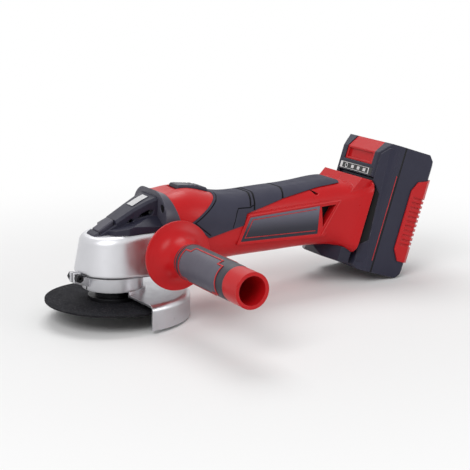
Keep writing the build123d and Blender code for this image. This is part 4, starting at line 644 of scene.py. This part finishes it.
spring_low, spring_high = (Vector(corner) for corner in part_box("lock_spring"))
lock_radius = (spring_high.x - spring_low.x) / 2 - lock_wire
lock_coil = coil_spring("lock_coil", lock_wire, lock_radius, spring_high.z - spring_low.z, lock_turns)
lock_coil.location = ((spring_low.x + spring_high.x) / 2, (spring_low.y + spring_high.y) / 2, spring_low.z)
bpy.ops.object.transform_apply(location=True, rotation=True, scale=True)
lock_coil.data.materials.append(ground_steel)
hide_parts("lock_spring")
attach(lock_coil, "housing")
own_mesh(lock_coil)
bpy.ops.object.select_all(action="DESELECT")

# Cutting disc: corundum grit in black resin, pressed round a glass net, so it is rough and speckled.
# It is clamped between the inner flange and the nut.
disc_grit = grained(
    "disc_grit", colour=(0.008, 0.008, 0.011), roughness=0.85, mottle=0.35, grain=1100, relief=0.00025,
    shine=0.15, worn=(0.075, 0.072, 0.070),
)
tree = disc_grit.node_tree
place = add_node(tree, "TexCoord", {}, "Object")
specks = add_node(tree, "TexNoise", {"Vector": place, "Scale": 900.0, "Detail": 3.0})
speck_share = add_node(tree, "MapRange", {"Value": specks, "From Min": 0.56, "From Max": 0.72})
speck_tone = mixed(tree, speck_share, tree.nodes["skin"].outputs["Colour"], (0.070, 0.068, 0.072, 1))
tree.links.new(speck_tone, tree.nodes["edges"].inputs["Colour"])
dress(disc_grit, "cutting_disc")

# Electric parts inside: laminated core, copper windings and commutator, ferrite magnets and carbon brushes.
# The contacts, brush holders and bush are brass, the board is green resin and the cells have a blue film.
laminated_iron = grained(
    "laminated_iron", colour=(0.25, 0.25, 0.26), roughness=0.45, mottle=0.1, grain=1500, relief=0.00003, metallic=1.0
)
dress(laminated_iron, "armature_core")
copper_wire = grained(
    "copper_wire", colour=(0.60, 0.22, 0.09), roughness=0.32, mottle=0.15, grain=2600, relief=0.00006, metallic=1.0
)
dress(copper_wire, "armature_windings", "commutator")
spring_brass = grained(
    "spring_brass", colour=(0.66, 0.47, 0.19), roughness=0.3, mottle=0.08, grain=2000, relief=0.00002, metallic=1.0
)
dress(spring_brass, "battery_terminal_block", "battery_contacts", "brush_holders", "spindle_top_bush")
ferrite = grained("ferrite", colour=(0.06, 0.06, 0.065), roughness=0.7, mottle=0.2, grain=1200, relief=0.00006)
dress(ferrite, "motor_magnets", "carbon_brushes")
board_resin = grained(
    "board_resin", colour=(0.012, 0.12, 0.045), roughness=0.4, mottle=0.12, grain=1200, relief=0.00003
)
dress(board_resin, "control_board")
cell_film = grained("cell_film", colour=(0.05, 0.16, 0.36), roughness=0.3, mottle=0.06, grain=600, relief=0.00002)
dress(cell_film, "battery_cells")

# Battery: two anthracite case halves, screwed together with a dark joint line round them where they meet.
# The strip beside the foot, where the foot slides past, is painted near black as painted shade.
lean = math.radians(17)
pack_back = Vector((math.cos(lean), 0, -math.sin(lean)))
pack_up = Vector((math.sin(lean), 0, math.cos(lean)))
pack_colour = (0.025, 0.025, 0.045)
joint_and_shade_colour = (0.001, 0.001, 0.0015, 1)
joint_path = (0.0008, ((0.225, 0.080), (0.225, 0.206)))
foot_shade_path = (0.0026, ((0.2070, 0.1640), (0.2098, 0.1570), (0.2114, 0.1140), (0.2084, 0.1090)))


def on_pack(depth, height, across=0.0):
    """A point of the pack, from its depth behind the tool's front, its height along the lean and its place across."""
    return pack_back * depth + pack_up * height + Vector((0, across, 0))


pack_case = grained(
    "pack_case", colour=pack_colour, roughness=0.38, mottle=0.14, grain=1100, relief=0.00006,
    shine=0.22, worn=(0.12, 0.115, 0.15), rounding=0.0014,
)
tree = pack_case.node_tree
# The joint is a dark line of the case; the strip beside the foot is painted shade in the same near black.
joint_and_shade_paths = [(half_width, [on_pack(*spot).xz for spot in path]) for half_width, path in (joint_path, foot_shade_path)]
off_joint_and_shade = moulded_lines(tree, joint_and_shade_paths)
joint_and_shade_tone = mixed(tree, off_joint_and_shade, joint_and_shade_colour, tree.nodes["edges"].outputs["Colour"])
tree.links.new(joint_and_shade_tone, tree.nodes["Principled BSDF"].inputs["Base Color"])
dress(pack_case, "battery_rail_case", "battery_base_case")

# Pack cheeks: raised lands on the pack's slanted front corners, moulded in one with the rail case.
# Their front edge steps back beside the foot, so the foot clears them as the pack slides on.
cheek_front = 0.204
cheek_front_width = 0.027
flank_front = 0.218
flank_width = 0.0385
cheek_slant = (flank_width - cheek_front_width) / (flank_front - cheek_front)
cheek_outline = (
    (0.2058, 0.1665), (0.2124, 0.1560), (0.2146, 0.1130), (0.2080, 0.1064), (0.2098, 0.0920), (0.2174, 0.0920),
    (0.2174, 0.1990), (0.2112, 0.1990), (0.2058, 0.1915),
)
cheek_thickness = 0.0030
cheek_offset = -0.13
cheek_rounding = 0.0005
rear_edge = (0.2160, 0.2172)
sunk_depth = 0.2188
sunk_width = 0.0381


def both_flanks(outline):
    """An outline for each flank. The far one runs the other way round, so that its face looks outward."""
    return (-1, outline), (1, outline[:1] + outline[:0:-1])


pack_cheeks = flat_fields(
    "pack_cheeks",
    [
        [
            on_pack(depth, height, side * (cheek_front_width + (depth - cheek_front) * cheek_slant))
            for depth, height in outline
        ]
        for side, outline in both_flanks(cheek_outline)
    ],
)
thicken(pack_cheeks, cheek_thickness, cheek_offset)
for corner in pack_cheeks.data.vertices:
    # The outer corners of the rear edge go down into the case, so that no step is left there.
    if rear_edge[0] < corner.co.dot(pack_back) < rear_edge[1]:
        corner.co = on_pack(sunk_depth, corner.co.dot(pack_up), math.copysign(sunk_width, corner.co.y))
soften(pack_cheeks, cheek_rounding)
pack_land = grained(
    "pack_land", colour=pack_colour, roughness=0.38, mottle=0.14, grain=1100, relief=0.00006,
    shine=0.22, worn=(0.20, 0.19, 0.22), rounding=0.0014,
)
pack_cheeks.data.materials.append(pack_land)
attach(pack_cheeks, "battery")
bpy.ops.object.select_all(action="DESELECT")

# Pack stripes: one plain red line printed along the joint on each flank of the rail case.
# The ink lies on the flank as a thin film.
stripe = ((0.2226, 0.0960), (0.2233, 0.0960), (0.2233, 0.1760), (0.2226, 0.1760))
ink_thickness = 0.00015
pack_stripes = flat_fields(
    "pack_stripes",
    [
        [on_pack(depth, height, side * flank_width) for depth, height in outline]
        for side, outline in both_flanks(stripe)
    ],
)
thicken(pack_stripes, ink_thickness, 1)
pack_stripes.data.materials.append(red_nylon)
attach(pack_stripes, "battery")
bpy.ops.object.select_all(action="DESELECT")

# Latch spring: a short coil of spring wire, held between the pack's case and the back of the release button.
latch_front = (0.21625, 0.192)
latch_wire = 0.0005
latch_radius = 0.0035
latch_length = 0.0038
latch_turns = 3
latch_coil = coil_spring("latch_coil", latch_wire, latch_radius, latch_length, latch_turns)
latch_coil.rotation_euler = (0, math.radians(90) + lean, 0)
latch_coil.location = on_pack(*latch_front)
bpy.ops.object.transform_apply(location=True, rotation=True, scale=True)
latch_coil.data.materials.append(ground_steel)
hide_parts("latch_spring")
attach(latch_coil, "battery")
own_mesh(latch_coil)
bpy.ops.object.select_all(action="DESELECT")

# Charge gauge: a glossy black window with two printed end marks, two thin lines and three lamp windows.
# The round press button has a ring printed on its face.
gauge_face = 0.20395
mark_low, mark_high = 0.1706, 0.1764
lamp_low, lamp_high = 0.1720, 0.1750
thin_line = 0.0004
gauge_fields = (
    (0.0245, 0.0212, mark_low, mark_high),
    (-0.0192, -0.0205, mark_low, mark_high),
    (0.0212, -0.0192, mark_low, mark_low + thin_line),
    (0.0212, -0.0192, mark_high - thin_line, mark_high),
    (0.0070, 0.0030, lamp_low, lamp_high),
    (-0.0022, -0.0062, lamp_low, lamp_high),
    (-0.0114, -0.0154, lamp_low, lamp_high),
)
button_middle = on_pack(0.20370, 0.1735, 0.0144)
ring_radius = 0.0022
ring_width = 0.0007
gauge_gloss = grained(
    "gauge_gloss", colour=(0.006, 0.006, 0.007), roughness=0.16, mottle=0.1, grain=800, relief=0.00001
)
dress(gauge_gloss, "gauge_window", "gauge_button")
gauge_print = grained(
    "gauge_print", colour=(0.74, 0.74, 0.74), roughness=0.45, mottle=0.05, grain=900, relief=0.00001
)
gauge_marks = flat_fields(
    "gauge_marks",
    [
        [on_pack(gauge_face, height, y) for y, height in ((far, low), (near, low), (near, high), (far, high))]
        for far, near, low, high in gauge_fields
    ],
)
thicken(gauge_marks, ink_thickness, 1)
gauge_marks.data.materials.append(gauge_print)
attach(gauge_marks, "battery")
bpy.ops.object.select_all(action="DESELECT")
bpy.ops.mesh.primitive_circle_add(
    vertices=32,
    radius=ring_radius,
    fill_type="NGON",
    location=button_middle,
    rotation=(0, math.radians(90) + lean + math.pi, 0),
)
button_ring = bpy.context.object
button_ring.name = "button_ring"
bpy.ops.object.transform_apply(location=True, rotation=True, scale=True)
leave_border(button_ring, ring_width, lambda face: True)
thicken(button_ring, ink_thickness, 1)
button_ring.data.materials.append(gauge_print)
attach(button_ring, "gauge_button")
bpy.ops.object.select_all(action="DESELECT")

# Handle sleeve: soft rubber moulded round the side handle, with two panels in a paler rubber.
# A thin red line stands proud round each panel, and one runs round the sleeve's inner end.
handle_x = 0.0357
handle_z = 0.0546
sleeve_radius = 0.0149
sleeve_length = 0.080
sleeve_middle = -0.1115
sleeve_dark = (0.026, 0.025, 0.036)
sleeve_pale = (0.082, 0.078, 0.104)
panel_turn = 12
panel_middle = -0.1105
panel_parts = ((66, 0.0225), (50, 0.0305))  # half the angle and half the length: a broad middle, narrower ends
ring_ends = (-0.0756, -0.0748)
red_line_width = 0.0011
red_line_height = 0.0004
handle_rubber = grained(
    "handle_rubber", colour=sleeve_dark, roughness=0.46, mottle=0.18, grain=2200, relief=0.00007,
    shine=0.4, worn=(0.095, 0.092, 0.115),
)
tree = handle_rubber.node_tree
place = add_node(tree, "TexCoord", {}, "Object")
spot = add_node(tree, "SeparateXYZ", {"Vector": place}).node.outputs
across = reckon(tree, "SUBTRACT", handle_x, spot["X"])
above = reckon(tree, "SUBTRACT", spot["Z"], handle_z)
round_sleeve = reckon(tree, "SUBTRACT", reckon(tree, "ARCTAN2", above, across), math.radians(panel_turn))
off_panel = reckon(tree, "ABSOLUTE", reckon(tree, "WRAP", round_sleeve, math.pi / 2, -math.pi / 2))
in_panel = None
for half_angle, half_length in panel_parts:
    within = reckon(tree, "LESS_THAN", off_panel, math.radians(half_angle))
    beside = reckon(tree, "COMPARE", spot["Y"], panel_middle, half_length)
    part = reckon(tree, "MULTIPLY", within, beside)
    in_panel = part if in_panel is None else reckon(tree, "MAXIMUM", in_panel, part)
panel_tone = mixed(tree, in_panel, (*sleeve_dark, 1), (*sleeve_pale, 1))
tree.links.new(panel_tone, tree.nodes["skin"].inputs["Colour"])
dress(handle_rubber, "handle_sleeve")
bpy.ops.mesh.primitive_cylinder_add(
    vertices=72,
    radius=sleeve_radius,
    depth=sleeve_length,
    end_fill_type="NOTHING",
    location=(handle_x, sleeve_middle, handle_z),
    rotation=(math.radians(90), 0, 0),
)
sleeve_lines = bpy.context.object
sleeve_lines.name = "sleeve_lines"
bpy.ops.object.transform_apply(location=True, rotation=True, scale=True)
bpy.ops.object.mode_set(mode="EDIT")
panel_ends = [panel_middle + side * half_length for half_angle, half_length in panel_parts for side in (-1, 1)]
for cut in (*ring_ends, *panel_ends):
    bpy.ops.mesh.select_all(action="SELECT")
    bpy.ops.mesh.bisect(plane_co=(0, cut, 0), plane_no=(0, 1, 0))
bpy.ops.object.mode_set(mode="OBJECT")


def off_lines(face):
    """Whether a face of the sleeve lies neither in a panel nor in the ring at the inner end."""
    turn = math.degrees(math.atan2(face.center.z - handle_z, handle_x - face.center.x))
    turn = abs((turn - panel_turn + 90) % 180 - 90)
    from_middle = abs(face.center.y - panel_middle)
    in_ring = ring_ends[0] < face.center.y < ring_ends[1]
    return not (in_ring or any(turn < angle and from_middle < length for angle, length in panel_parts))


pick_faces(sleeve_lines, off_lines)
bpy.ops.mesh.delete(type="FACE")
bpy.ops.object.mode_set(mode="OBJECT")
leave_border(sleeve_lines, red_line_width, lambda face: face.center.y < ring_ends[0])
thicken(sleeve_lines, red_line_height, 1)
sleeve_lines.data.materials.append(red_nylon)
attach(sleeve_lines, "housing")
bpy.ops.object.select_all(action="DESELECT")
